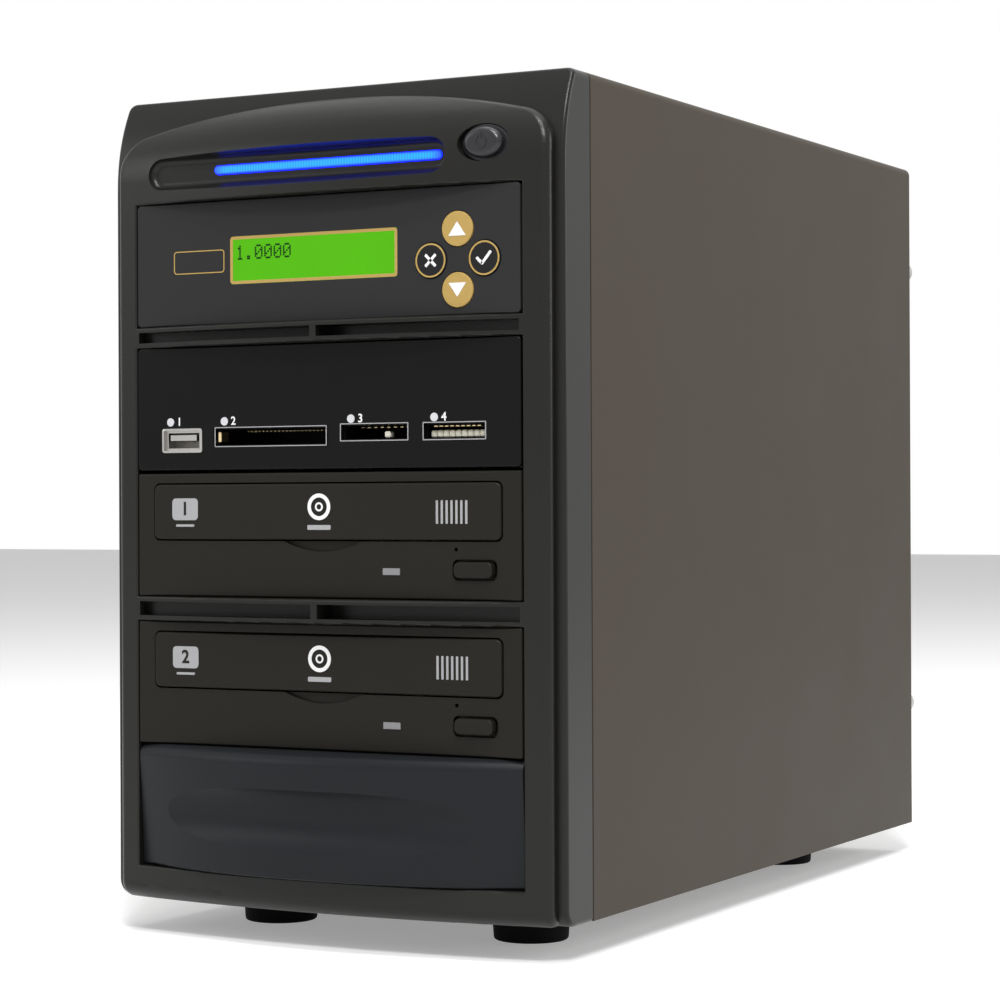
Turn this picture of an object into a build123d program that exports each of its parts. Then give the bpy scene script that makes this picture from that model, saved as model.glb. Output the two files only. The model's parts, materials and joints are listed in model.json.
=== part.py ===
from build123d import *

# A disc duplicator tower: a moulded front bezel on a bent metal case, with a column of
# 5.25-inch units in front and a power supply at the back.
#
# Frame: +Z is up, the front looks along -Y, and +X is to the right seen from the front.
# The origin is the middle of the bounding box, on the surface that the feet stand on.
# All lengths are millimetres. A "depth" is measured backwards from the plane of the drive faces.

import math
import os

os.makedirs("parts", exist_ok=True)

# ---------------------------------------------------------------- driving dimensions
opening_width = 149.0
side_rail = 12.5
case_width = opening_width + 2 * side_rail
case_height = 275.0
case_length = 304.7
sheet = 1.0
case_bend = 3.0
foot_height = 12.0
foot_diameter = 27.0
foot_spacing_x = 100.0
foot_spacing_y = 221.0
front_foot_depth = 52.0

bezel_back = 24.0
seam = 0.8
bezel_wall = 2.6
base_front = 5.6
base_lean_radius = 60.0
base_lean_height = 30.6
base_edge = 1.5
bezel_corner = 3.0
bottom_round = 6.0
plateau_margin = 3.5
plateau_bow = 6.0
plateau_edge = 3.0
arch_radius = 324.0
arch_corner = 13.0
arch_drop = 4.4
brow_lean_radius = 26.0
brow_lean_height = 24.2

unit_height = 42.0
unit_gap = 0.8
bottom_rail = 11.8
low_strip = 8.2
high_strip = 7.0
strip_rail = 1.7
strip_rib = 2.4
strip_pocket_depth = 4.0
opening_edge = 0.7

face_gap = 0.5
face_clearance = 0.2
face_thickness = 2.4
drive_face_thickness = 3.4
unit_inset = 1.5
unit_width = opening_width - 2 * unit_inset
drive_length = 165.5
drive_front = 4.5
drive_height = 41.0
cage_length = 147.0
module_length = 72.0

fit = 0.3
running = 0.05
press_fit = 0.05

tray_side = 8.0
tray_width = unit_width - 2 * tray_side
tray_length = 154.0
tray_front_margin = 2.0
tray_front_width = tray_width + 2 * tray_front_margin
tray_front_height = 18.6
tray_front_bottom = 19.5
tray_front_proud = 0.8
tray_top = 31.0
tray_plate = 5.0
tray_rail = 8.0
disc_diameter = 120.0
disc_centre_depth = 70.0
tray_slot = 36.0
sled_travel = 34.0

light_bar_length = 88.0
light_bar_height = 3.2
button_width = 14.0
button_height = 10.0
key_diameter = 11.4
key_cross = 9.85
window_width = 65.1
window_height = 16.1

cover_bow = 13.4
cover_lean = 2.4
cover_soft = 4.0
dish_width = 124.0
dish_height = 21.0
dish_depth = 5.0

psu_width = 150.0
psu_height = 86.0
psu_length = 140.0
psu_top_gap = 5.0
fan_size = 80.0
fan_depth = 25.0
fan_blades = 7
thumb_screw_reach = 8.0

# ---------------------------------------------------------------- places that follow
case_bottom = foot_height
case_top = case_bottom + case_height
case_front = bezel_back + seam
case_back = case_front + case_length
half_width = case_width / 2
face_width = opening_width - 2 * face_gap
face_height = unit_height - 2 * face_clearance
cover_tilt = math.atan(cover_lean / face_height)
cover_reach = cover_bow - cover_soft * (math.tan(cover_tilt) + 1 / math.cos(cover_tilt) - 1)
overall_length = cover_reach + case_back + thumb_screw_reach
face_y = cover_reach - overall_length / 2

cover_z = case_bottom + bottom_rail
drive_2_z = cover_z + unit_height
low_strip_z = drive_2_z + unit_height
drive_1_z = low_strip_z + low_strip
reader_z = drive_1_z + unit_height + unit_gap
high_strip_z = reader_z + unit_height
panel_z = high_strip_z + high_strip
column_top = panel_z + unit_height

inner_width = case_width - 2 * sheet
pan_width = inner_width - 2 * fit
rear_panel_depth = case_back - 2 * sheet


def front_plane(depth):
    """Upright plane across the tower: local x is X, local y is Z, and it looks forward."""
    return Plane(origin=(0, face_y + depth, 0), x_dir=(1, 0, 0), z_dir=(0, -1, 0))


def save(builder, name):
    """Label a finished piece and write it as a node of its own."""
    builder.part.label = name
    export_step(builder.part, f"parts/{name}.step")


# ---------------------------------------------------------------- metal case
screw_hole = 4.2
foot_rows = (front_foot_depth, front_foot_depth + foot_spacing_y)
foot_places = [(side * foot_spacing_x / 2, face_y + row) for row in foot_rows for side in (-1, 1)]
pan_flange = 10.0
pan_length = rear_panel_depth - case_front
pan_middle = face_y + case_front + pan_length / 2
floor_top = case_bottom + sheet

with BuildPart() as base_pan:
    with BuildSketch(Plane.XY.offset(case_bottom)):
        with Locations((0, pan_middle)):
            Rectangle(pan_width, pan_length)
    extrude(amount=sheet)
    with BuildSketch(Plane.XY.offset(floor_top)):
        with Locations((0, pan_middle)):
            with GridLocations(pan_width - sheet, 0, 2, 1):
                Rectangle(sheet, pan_length)
    extrude(amount=pan_flange)
    with BuildSketch(Plane.XY.offset(case_bottom)):
        with Locations(*foot_places):
            Circle(screw_hole / 2)
        with Locations((0, pan_middle)):
            with GridLocations(12, 60, 5, 2):
                SlotOverall(30, 4, rotation=90)
    extrude(amount=sheet, mode=Mode.SUBTRACT)
save(base_pan, "base_pan")

column_bottom_clear = cover_z - sheet
column_top_clear = column_top + sheet
switch_diameter = 11.6
button_x = 61.5
button_z = case_top - 24.2

with BuildPart() as front_frame:
    with BuildSketch(front_plane(case_front)):
        with Locations((0, (floor_top + case_top - sheet - fit) / 2)):
            Rectangle(pan_width - 2 * sheet, case_top - sheet - fit - floor_top)
        with Locations((0, (column_bottom_clear + column_top_clear) / 2)):
            RectangleRounded(unit_width, column_top_clear - column_bottom_clear, 2, mode=Mode.SUBTRACT)
        with Locations((button_x, button_z)):
            Circle(switch_diameter / 2 + press_fit, mode=Mode.SUBTRACT)
    extrude(amount=-sheet)
save(front_frame, "front_frame")

fan_grille = fan_size - 6
grille_slot = 4.0
grille_pitch = 6.6
fan_row = fan_size - 8.5
case_fan_z = case_bottom + 98.0
psu_z = case_top - sheet - psu_top_gap - psu_height
psu_middle_z = psu_z + psu_height / 2
psu_lip = 4.0
lip_width = 10.0
lip_x = inner_width / 2 - lip_width / 2
lip_margin = 4.0
thumb_screw_places = [(side * lip_x, case_bottom + z) for z in (50, 232) for side in (-1, 1)]


def grille_rows():
    """Height and length of each slot of a round grille, clipped to its circle."""
    rows = int(fan_grille / 2 / grille_pitch)
    for step in range(-rows, rows + 1):
        height = step * grille_pitch
        reach = abs(height) + grille_slot / 2
        half = math.sqrt(max((fan_grille / 2) ** 2 - reach**2, grille_slot**2))
        yield height, 2 * half


with BuildPart() as rear_panel:
    with BuildSketch(front_plane(rear_panel_depth)) as panel_outline:
        with Locations((0, (case_bottom + case_top - sheet - fit) / 2)):
            Rectangle(pan_width, case_height - sheet - fit)
        fillet(panel_outline.vertices().group_by(Axis.Y)[-1], case_bend)
        with Locations((0, psu_middle_z)):
            Rectangle(psu_width - 2 * psu_lip, psu_height - 2 * psu_lip, mode=Mode.SUBTRACT)
        for height, length in grille_rows():
            with Locations((0, case_fan_z + height)):
                SlotOverall(length, grille_slot, mode=Mode.SUBTRACT)
        with Locations((0, case_bottom + 28)):
            with GridLocations(10, 0, 11, 1):
                SlotOverall(26, 4, rotation=90, mode=Mode.SUBTRACT)
        with Locations(*thumb_screw_places):
            Circle(screw_hole / 2, mode=Mode.SUBTRACT)
    extrude(amount=-sheet)
save(rear_panel, "rear_panel")

cage_top = column_top_clear + 5
cage_middle = face_y + case_front + sheet + cage_length / 2
with BuildPart() as drive_cage:
    with BuildSketch(front_plane(case_front + sheet)):
        with Locations((0, (floor_top + cage_top) / 2)):
            Rectangle(unit_width + 2 * sheet, cage_top - floor_top)
        with Locations((0, (floor_top + cage_top - sheet) / 2)):
            Rectangle(unit_width, cage_top - sheet - floor_top, mode=Mode.SUBTRACT)
    extrude(amount=-cage_length)
    with BuildSketch(Plane.YZ.offset(-unit_width)):
        for z in (cover_z, drive_2_z, drive_1_z, reader_z, panel_z):
            with Locations((cage_middle, z + unit_height / 2)):
                with GridLocations(44, 0, 3, 1):
                    SlotOverall(34, 12)
    extrude(amount=2 * unit_width, mode=Mode.SUBTRACT)
save(drive_cage, "drive_cage")

with BuildPart() as wrap_cover:
    with BuildSketch(front_plane(case_front)) as cover_section:
        with Locations((0, case_bottom + case_height / 2)):
            Rectangle(case_width, case_height)
        fillet(cover_section.vertices().group_by(Axis.Y)[-1], case_bend)
        with BuildSketch(mode=Mode.SUBTRACT) as cover_inside:
            with Locations((0, case_bottom + (case_height - sheet) / 2)):
                Rectangle(inner_width, case_height - sheet)
            fillet(cover_inside.vertices().group_by(Axis.Y)[-1], case_bend - sheet)
    extrude(amount=-case_length)
    with BuildSketch(front_plane(case_back - sheet)):
        with Locations((0, case_bottom + case_height / 2)):
            with GridLocations(2 * lip_x, 0, 2, 1):
                Rectangle(lip_width, case_height - 2 * lip_margin)
        with Locations(*thumb_screw_places):
            Circle(screw_hole / 2, mode=Mode.SUBTRACT)
    extrude(amount=-sheet)
save(wrap_cover, "wrap_cover")

screw_shank = screw_hole - 2 * running
thumb_head = 9.0
thumb_head_depth = case_back
with BuildPart() as thumb_screws:
    with BuildSketch(front_plane(thumb_head_depth)):
        with Locations(*thumb_screw_places):
            Circle(thumb_head / 2)
    extrude(amount=-thumb_screw_reach)
    chamfer(thumb_screws.faces().group_by(Axis.Y)[-1].edges(), 0.8)
    with BuildSketch(front_plane(thumb_head_depth)):
        with Locations(*thumb_screw_places):
            Circle(screw_shank / 2)
    extrude(amount=4 * sheet)
save(thumb_screws, "thumb_screws")

# ---------------------------------------------------------------- feet
foot_taper = 4.0
foot_bore = 9.0
foot_web = 4.0
foot_names = ("front_left", "front_right", "rear_left", "rear_right")
for foot_name, place in zip(foot_names, foot_places):
    with BuildPart() as foot:
        with BuildSketch(Plane.XY.offset(foot_height)):
            with Locations(place):
                Circle(foot_diameter / 2)
        extrude(amount=-foot_height, taper=foot_taper)
        fillet(foot.edges().group_by(Axis.Z)[0], 1.0)
        with BuildSketch(Plane.XY):
            with Locations(place):
                Circle(foot_bore / 2)
        extrude(amount=foot_height - foot_web, mode=Mode.SUBTRACT)
        with BuildSketch(Plane.XY):
            with Locations(place):
                Circle(screw_hole / 2)
        extrude(amount=foot_height, mode=Mode.SUBTRACT)
    save(foot, f"foot_{foot_name}")

foot_screw_head = 8.0
foot_screw_thick = 2.4
with BuildPart() as foot_screws:
    with BuildSketch(Plane.XY.offset(foot_height - foot_web)):
        with Locations(*foot_places):
            Circle(foot_screw_head / 2)
    extrude(amount=-foot_screw_thick)
    with BuildSketch(Plane.XY.offset(foot_height - foot_web)):
        with Locations(*foot_places):
            Circle(screw_shank / 2)
    extrude(amount=foot_web + 4 * sheet)
save(foot_screws, "foot_screws")

# ---------------------------------------------------------------- bezel
crown_y = face_y - plateau_bow
bow_radius = ((opening_width / 2) ** 2 + plateau_bow**2) / (2 * plateau_bow)
bow_turn = 14.0
arch_peak = case_top - arch_drop
plateau_half = half_width - plateau_margin


def bow_plane(radius, crown, turn):
    """Upright plane through the axis of a bowed front, turned to the bow's left end.

    Its local x is the distance from the axis, and its local y is the height."""
    swing = math.radians(turn)
    outward = (-math.sin(swing), -math.cos(swing), 0)
    normal = (-math.cos(swing), math.sin(swing), 0)
    return Plane(origin=(0, crown + radius, 0), x_dir=outward, z_dir=normal)


def bow_axis(radius, crown):
    """Upright axis that a bowed front turns about."""
    return Axis((0, crown + radius, 0), (0, 0, 1))


def base_block(inset, back):
    """The bezel's flat frame with its top leaning back, drawn in by the inset."""
    front = face_y + base_front + inset
    low = case_bottom + inset
    high = case_top - inset
    lean = case_top - base_lean_height
    radius = base_lean_radius - inset
    rise = high - lean
    top_front = front + radius - math.sqrt(radius**2 - rise**2)
    rounding = bottom_round - inset
    with BuildPart() as block:
        with BuildSketch(Plane.YZ):
            with BuildLine():
                Line((back, low), (front + rounding, low))
                TangentArc((front + rounding, low), (front, low + rounding), tangent=(-1, 0))
                Line((front, low + rounding), (front, lean))
                TangentArc((front, lean), (top_front, high), tangent=(0, 1))
                Polyline((top_front, high), (back, high), (back, low))
            make_face()
        extrude(amount=half_width - inset, both=True)
        with BuildSketch(front_plane(0)) as outline:
            with Locations((0, (low + high) / 2)):
                Rectangle(2 * (half_width - inset), high - low)
            fillet(outline.vertices().group_by(Axis.Y)[-1], max(bezel_corner - inset, sheet / 2))
        extrude(amount=-(back - face_y), mode=Mode.INTERSECT)
    return block.part


def plateau_block(inset, back):
    """The raised middle with its bowed front and arched brow, drawn in by the inset."""
    radius = bow_radius - inset
    low = case_bottom + inset
    high = arch_peak - inset
    lean = arch_peak - brow_lean_height
    lean_radius = brow_lean_radius - inset
    top = radius - lean_radius + math.sqrt(lean_radius**2 - (high - lean) ** 2)
    rounding = bottom_round - inset
    depth = back - crown_y + bottom_round
    half = plateau_half - inset
    arch = arch_radius - inset
    spring = high - arch + math.sqrt(arch**2 - half**2)
    with BuildPart() as block:
        with BuildSketch(bow_plane(bow_radius, crown_y, bow_turn)):
            with BuildLine():
                Line((radius - depth, low), (radius - rounding, low))
                TangentArc((radius - rounding, low), (radius, low + rounding), tangent=(1, 0))
                Line((radius, low + rounding), (radius, lean))
                TangentArc((radius, lean), (top, high), tangent=(0, 1))
                Polyline((top, high), (radius - depth, high), (radius - depth, low))
            make_face()
        revolve(axis=bow_axis(bow_radius, crown_y), revolution_arc=2 * bow_turn)
        with BuildSketch(front_plane(-plateau_bow - 1)) as outline:
            with BuildLine():
                Polyline((-half, spring), (-half, low), (half, low), (half, spring))
                ThreePointArc((half, spring), (0, high), (-half, spring))
            make_face()
            fillet(outline.vertices().group_by(Axis.Y)[-1], arch_corner - inset)
        extrude(amount=-(back - crown_y + 1), mode=Mode.INTERSECT)
    return block.part


# Trough for the light bar, with rounded ends and a rounded floor
trough_left = -68.0
trough_right = 47.5
trough_height = 9.4
trough_floor = 1.6
trough_round = 2.6
trough_taper = 14.0
trough_z = case_top - 27.2
bar_z = trough_z + 0.4
bar_middle = 1.0
trough_front = -plateau_bow - 2
with BuildPart() as trough:
    with BuildSketch(front_plane(trough_floor)):
        with Locations(((trough_left + trough_right) / 2, trough_z)):
            SlotOverall(trough_right - trough_left, trough_height)
    extrude(amount=trough_floor - trough_front, taper=-trough_taper)
    fillet(trough.faces().sort_by(Axis.Y)[-1].edges(), trough_round)

sleeve = 2.4
sleeve_back = 9.0
button_ring = 1.75
flange_gap = fit
hole_width = button_width + 2 * button_ring
hole_height = button_height + 2 * (button_ring - 0.55)
boss_diameter = 6.0
boss_x = (opening_width / 2 + sleeve + half_width - bezel_wall) / 2
boss_places = [(side * boss_x, case_bottom + z) for z in (23, 137, 250) for side in (-1, 1)]
hollow_back = face_y + bezel_back + 1

with BuildPart() as hollow:
    add(base_block(bezel_wall, hollow_back))
    add(plateau_block(bezel_wall, hollow_back))
    with BuildSketch(front_plane(-plateau_bow)):
        with Locations((0, (cover_z + column_top) / 2)):
            Rectangle(opening_width + 2 * sleeve, column_top - cover_z + 2 * sleeve)
        with Locations(*boss_places):
            Circle(boss_diameter / 2)
    extrude(amount=-(plateau_bow + bezel_back + 2), mode=Mode.SUBTRACT)
    with BuildSketch(front_plane(-plateau_bow)):
        with Locations(((trough_left + trough_right) / 2, trough_z)):
            SlotOverall(trough_right - trough_left + 2 * sleeve, trough_height + 2 * sleeve)
    extrude(amount=-(plateau_bow + trough_floor + sleeve), mode=Mode.SUBTRACT)
    with BuildSketch(front_plane(-plateau_bow)):
        with Locations((button_x, button_z)):
            Ellipse(hole_width / 2 + sleeve, hole_height / 2 + sleeve)
    extrude(amount=-(plateau_bow + sleeve_back), mode=Mode.SUBTRACT)

openings = (
    (cover_z, 2 * unit_height),
    (drive_1_z, 2 * unit_height + unit_gap),
    (panel_z, unit_height),
)
strips = ((low_strip_z, low_strip), (high_strip_z, high_strip))


def is_opening_rim(edge):
    """True for an edge where an opening meets the bezel's bowed front."""
    middle = edge @ 0.5
    if middle.Y > face_y + base_front / 2 or abs(middle.X) > opening_width / 2 + fit:
        return False
    on_side = abs(abs(middle.X) - opening_width / 2) < press_fit
    levels = [level for z, height in openings for level in (z, z + height)]
    on_level = min(abs(middle.Z - level) for level in levels) < press_fit
    return (on_side or on_level) and edge.length > unit_height / 2


strip_back = strip_pocket_depth + bezel_wall
through = plateau_bow + bezel_back + 2

with BuildPart() as plateau:
    add(plateau_block(0, face_y + bezel_back))
    side_faces = plateau.faces().filter_by(Axis.X)
    front_sides = [face.edges().filter_by(Axis.Z).sort_by(Axis.Y)[0] for face in side_faces]
    fillet(front_sides, plateau_edge)

with BuildPart() as front_bezel:
    add(base_block(0, face_y + bezel_back))
    base_face = front_bezel.faces().filter_by(Axis.Y).sort_by(Axis.Y)[0]
    fillet(base_face.edges().filter_by(Axis.Z), base_edge)
    add(plateau.part)
    add(hollow.part, mode=Mode.SUBTRACT)
    with BuildSketch(front_plane(bezel_back)):
        with Locations(*boss_places):
            Circle(boss_diameter / 2)
    extrude(amount=-seam)
    for z, height in openings:
        with BuildSketch(front_plane(-plateau_bow - 1)):
            with Locations((0, z + height / 2)):
                Rectangle(opening_width, height)
        extrude(amount=-through, mode=Mode.SUBTRACT)
    rims = front_bezel.edges().filter_by(lambda edge: is_opening_rim(edge))
    fillet(rims, opening_edge)
    for z, height in strips:
        with BuildSketch(front_plane(strip_back)):
            with Locations((0, z + height / 2)):
                Rectangle(opening_width, height)
        extrude(amount=-through, mode=Mode.SUBTRACT)
        pocket_width = (opening_width - strip_rib) / 2 - 1
        with BuildSketch(front_plane(-plateau_bow - 1)):
            with Locations((0, z + height / 2)):
                with GridLocations(pocket_width + strip_rib, 0, 2, 1):
                    Rectangle(pocket_width, height - 2 * strip_rail)
        extrude(amount=-(plateau_bow + 1 + strip_pocket_depth), mode=Mode.SUBTRACT)
    add(trough.part, mode=Mode.SUBTRACT)
    with BuildSketch(front_plane(-plateau_bow)):
        with Locations((bar_middle, bar_z)):
            SlotOverall(light_bar_length + 2 * press_fit, light_bar_height + 2 * press_fit)
        with Locations((button_x, button_z)):
            Ellipse(hole_width / 2, hole_height / 2)
    extrude(amount=-through, mode=Mode.SUBTRACT)
save(front_bezel, "front_bezel")

bar_proud = 0.7
bar_length_back = sleeve + 2.0
with BuildPart() as light_bar:
    with BuildSketch(front_plane(trough_floor - bar_proud)):
        with Locations((bar_middle, bar_z)):
            SlotOverall(light_bar_length, light_bar_height)
    extrude(amount=-(bar_proud + bar_length_back))
    fillet(light_bar.faces().sort_by(Axis.Y)[0].edges(), 0.5)
    with BuildSketch(front_plane(trough_floor + sleeve)):
        with Locations((bar_middle, bar_z)):
            SlotOverall(light_bar_length + 4, light_bar_height + 4)
    extrude(amount=-bar_length_back)
save(light_bar, "light_bar")

# ---------------------------------------------------------------- power button and switch
button_travel = 1.5
button_front = -3.0
button_shoulder = 0.4
button_flange_back = 6.0
button_dome = 2.2
switch_body_front = 17.0
switch_body_back = case_front + 10.0
switch_flange = 15.0
plunger_diameter = 4.0
plunger_front = 12.6
button_stem_back = plunger_front - button_travel - fit
symbol_radius = 2.1
symbol_line = 0.5
symbol_height = 0.2

with BuildPart() as power_button:
    with BuildSketch(front_plane(button_flange_back)):
        with Locations((button_x, button_z)):
            Ellipse(hole_width / 2 - flange_gap, hole_height / 2 - flange_gap)
    extrude(amount=button_flange_back - button_shoulder)
    with BuildSketch(front_plane(button_shoulder)):
        with Locations((button_x, button_z)):
            Ellipse(button_width / 2, button_height / 2)
    extrude(amount=button_shoulder - button_front)
    fillet(power_button.faces().sort_by(Axis.Y)[0].edges(), button_dome)
    with BuildSketch(front_plane(button_flange_back)):
        with Locations((button_x, button_z)):
            Circle(plunger_diameter)
    extrude(amount=-(button_stem_back - button_flange_back))
    with BuildSketch(front_plane(button_front)):
        with Locations((button_x, button_z)):
            Circle(symbol_radius)
            Circle(symbol_radius - symbol_line, mode=Mode.SUBTRACT)
        with Locations((button_x, button_z + symbol_radius)):
            Rectangle(3 * symbol_line, 3 * symbol_line, mode=Mode.SUBTRACT)
            Rectangle(symbol_line, symbol_radius)
    extrude(amount=symbol_height)
save(power_button, "power_button")

with BuildPart() as power_switch:
    with BuildSketch(front_plane(switch_body_front)):
        with Locations((button_x, button_z)):
            Circle(switch_diameter / 2)
    extrude(amount=-(switch_body_back - switch_body_front))
    with BuildSketch(front_plane(case_front)):
        with Locations((button_x, button_z)):
            Circle(switch_flange / 2)
    extrude(amount=2 * sheet)
    with BuildSketch(front_plane(switch_body_front)):
        with Locations((button_x, button_z)):
            Circle(plunger_diameter / 2)
    extrude(amount=switch_body_front - plunger_front)
save(power_switch, "power_switch")

# ---------------------------------------------------------------- trays that carry the units' boards
bracket_sheet = 1.2
bracket_side = 36.0
board_thickness = 1.6
standoff_diameter = 6.0
bracket_rise = 0.2


def unit_bracket(z, post_height, post_x, post_depths):
    """Open tray behind a unit's plate, held between the cage walls, with posts for a board."""
    with BuildPart() as bracket:
        with BuildSketch(front_plane(face_thickness)):
            with Locations((0, z + bracket_rise)):
                Rectangle(unit_width, bracket_side, align=(Align.CENTER, Align.MIN))
            with Locations((0, z + bracket_rise + bracket_sheet)):
                Rectangle(
                    unit_width - 2 * bracket_sheet,
                    bracket_side,
                    align=(Align.CENTER, Align.MIN),
                    mode=Mode.SUBTRACT,
                )
        extrude(amount=-module_length)
        with BuildSketch(Plane.XY.offset(z + bracket_rise + bracket_sheet)):
            with Locations(*[(side * post_x, face_y + d) for d in post_depths for side in (-1, 1)]):
                Circle(standoff_diameter / 2)
        extrude(amount=post_height)
    return bracket


bracket_floor = bracket_rise + bracket_sheet

# ---------------------------------------------------------------- control unit
window_x = -3.6
window_up = 21.55
window_proud = -0.2
key_x = 51.4
key_up_height = 18.1
key_hole = key_diameter + 2 * fit
plate_corner = 1.5
plate_edge = 0.4
keys = {
    "key_up": (key_x, panel_z + key_up_height + key_cross),
    "key_down": (key_x, panel_z + key_up_height - key_cross),
    "key_esc": (key_x - key_cross, panel_z + key_up_height),
    "key_ok": (key_x + key_cross, panel_z + key_up_height),
}


def face_plate(z):
    """Plain plate that fills the front of a unit."""
    with BuildPart() as plate:
        with BuildSketch(front_plane(0)):
            with Locations((0, z + unit_height / 2)):
                RectangleRounded(face_width, face_height, plate_corner)
        extrude(amount=-face_thickness)
        fillet(plate.faces().sort_by(Axis.Y)[0].edges(), plate_edge)
    return plate.part


with BuildPart() as control_plate:
    add(face_plate(panel_z))
    with BuildSketch(front_plane(-1)):
        with Locations((window_x, panel_z + window_up)):
            RectangleRounded(window_width, window_height, 1)
        with Locations(*keys.values()):
            Circle(key_hole / 2)
    extrude(amount=-(face_thickness + 2), mode=Mode.SUBTRACT)
save(control_plate, "control_plate")

with BuildPart() as display_window:
    with BuildSketch(front_plane(-window_proud)):
        with Locations((window_x, panel_z + window_up)):
            RectangleRounded(window_width - 2 * press_fit, window_height - 2 * press_fit, 1)
    extrude(amount=-(face_thickness + window_proud))
save(display_window, "display_window")

key_travel = 0.7
key_proud = 0.4
key_flange = 1.0
key_flange_depth = face_thickness + fit
key_stem_back = key_flange_depth + key_flange + 1.3
key_stem_diameter = 4.0
key_switch_size = 6.0
key_switch_front = key_stem_back + key_travel + fit
display_board_front = key_switch_front + 2.5

for key_name, place in keys.items():
    with BuildPart() as key:
        with BuildSketch(front_plane(-key_proud)):
            with Locations(place):
                Circle(key_diameter / 2)
        extrude(amount=-(key_proud + key_flange_depth))
        fillet(key.faces().sort_by(Axis.Y)[0].edges(), 0.3)
        with BuildSketch(front_plane(key_flange_depth)):
            with Locations(place):
                Circle(key_diameter / 2 + 2 * fit + 0.2)
        extrude(amount=-key_flange)
        with BuildSketch(front_plane(key_flange_depth)):
            with Locations(place):
                Circle(key_stem_diameter / 2)
        extrude(amount=-(key_stem_back - key_flange_depth))
    save(key, key_name)

display_margin = 4.0
display_board_width = 138.0
display_board_height = 36.0
with BuildPart() as display_module:
    with BuildSketch(front_plane(display_board_front)):
        with Locations((0, panel_z + bracket_floor)):
            Rectangle(
                display_board_width, display_board_height, align=(Align.CENTER, Align.MIN)
            )
    extrude(amount=-board_thickness)
    with BuildSketch(front_plane(face_thickness)):
        with Locations((window_x, panel_z + window_up)):
            Rectangle(window_width + 2 * display_margin, window_height + 2 * display_margin)
    extrude(amount=-(display_board_front - face_thickness))
    with BuildSketch(front_plane(key_switch_front)):
        with Locations(*keys.values()):
            Rectangle(key_switch_size, key_switch_size)
    extrude(amount=-(display_board_front - key_switch_front))
save(display_module, "display_module")

board_post = 5.0
control_board_front = display_board_front + board_thickness + 3
control_board_length = 50.0
control_posts = (control_board_front + 6, control_board_front + control_board_length - 6)
control_bracket = unit_bracket(panel_z, board_post, 60, control_posts)
save(control_bracket, "control_bracket")

control_board_z = panel_z + bracket_floor + board_post
control_board_y = face_y + control_board_front + control_board_length / 2
with BuildPart() as controller_board:
    with BuildSketch(Plane.XY.offset(control_board_z)):
        with Locations((0, control_board_y)):
            Rectangle(display_board_width, control_board_length)
    extrude(amount=board_thickness)
    with BuildSketch(Plane.XY.offset(control_board_z + board_thickness)):
        with Locations((-20, control_board_y)):
            Rectangle(28, 28)
        with Locations((25, control_board_y)):
            with GridLocations(0, 16, 1, 2):
                Rectangle(20, 12)
    extrude(amount=2)
    with BuildSketch(Plane.XY.offset(control_board_z + board_thickness)):
        with Locations((0, control_board_y + control_board_length / 2 - 5)):
            with GridLocations(24, 0, 4, 1):
                Rectangle(17, 8)
    extrude(amount=8)
save(controller_board, "controller_board")

# ---------------------------------------------------------------- card reader
lamp_diameter = 2.8
lamp_proud = 0.2
lamp_up = 16.5
lamp_places = [(x, reader_z + lamp_up) for x in (-60.5, -38.6, 11.1, 42.5)]
reader_board_up = 6.0
usb_x, usb_up = -55.8, 10.2
usb_lip_width, usb_lip_height = 16.3, 8.2
usb_width, usb_height = 12.6, 5.2
cf_x, cf_up = -20.4, 11.2
cf_hole_width, cf_hole_height = 45.3, 6.8
sd_x, sd_up = 19.85, 12.05
sd_hole_width, sd_hole_height = 25.8, 4.7
ms_x, ms_up = 49.85, 12.0
ms_hole_width, ms_hole_height = 23.0, 4.9

with BuildPart() as reader_plate:
    add(face_plate(reader_z))
    with BuildSketch(front_plane(-1)):
        with Locations((usb_x, reader_z + usb_up)):
            RectangleRounded(usb_lip_width + 2 * press_fit, usb_lip_height + 2 * press_fit, 1)
        with Locations((cf_x, reader_z + cf_up)):
            Rectangle(cf_hole_width, cf_hole_height)
        with Locations((sd_x, reader_z + sd_up)):
            Rectangle(sd_hole_width, sd_hole_height)
        with Locations((ms_x, reader_z + ms_up)):
            Rectangle(ms_hole_width, ms_hole_height)
        with Locations(*lamp_places):
            Circle(lamp_diameter / 2 + press_fit)
    extrude(amount=-(face_thickness + 2), mode=Mode.SUBTRACT)
save(reader_plate, "reader_plate")

with BuildPart() as reader_lamps:
    with BuildSketch(front_plane(-lamp_proud)):
        with Locations(*lamp_places):
            Circle(lamp_diameter / 2)
    extrude(amount=-(lamp_proud + face_thickness))
save(reader_lamps, "reader_lamps")

reader_board_front = face_thickness + 1
reader_board_length = 40.0
reader_posts = (reader_board_front + 5, reader_board_front + reader_board_length - 5)
reader_post = reader_board_up - board_thickness - bracket_floor
reader_bracket = unit_bracket(reader_z, reader_post, 60, reader_posts)
save(reader_bracket, "reader_bracket")

with BuildPart() as reader_board:
    with BuildSketch(Plane.XY.offset(reader_z + reader_board_up - board_thickness)):
        with Locations((0, face_y + reader_board_front + reader_board_length / 2)):
            Rectangle(display_board_width, reader_board_length)
    extrude(amount=board_thickness)
save(reader_board, "reader_board")

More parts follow.
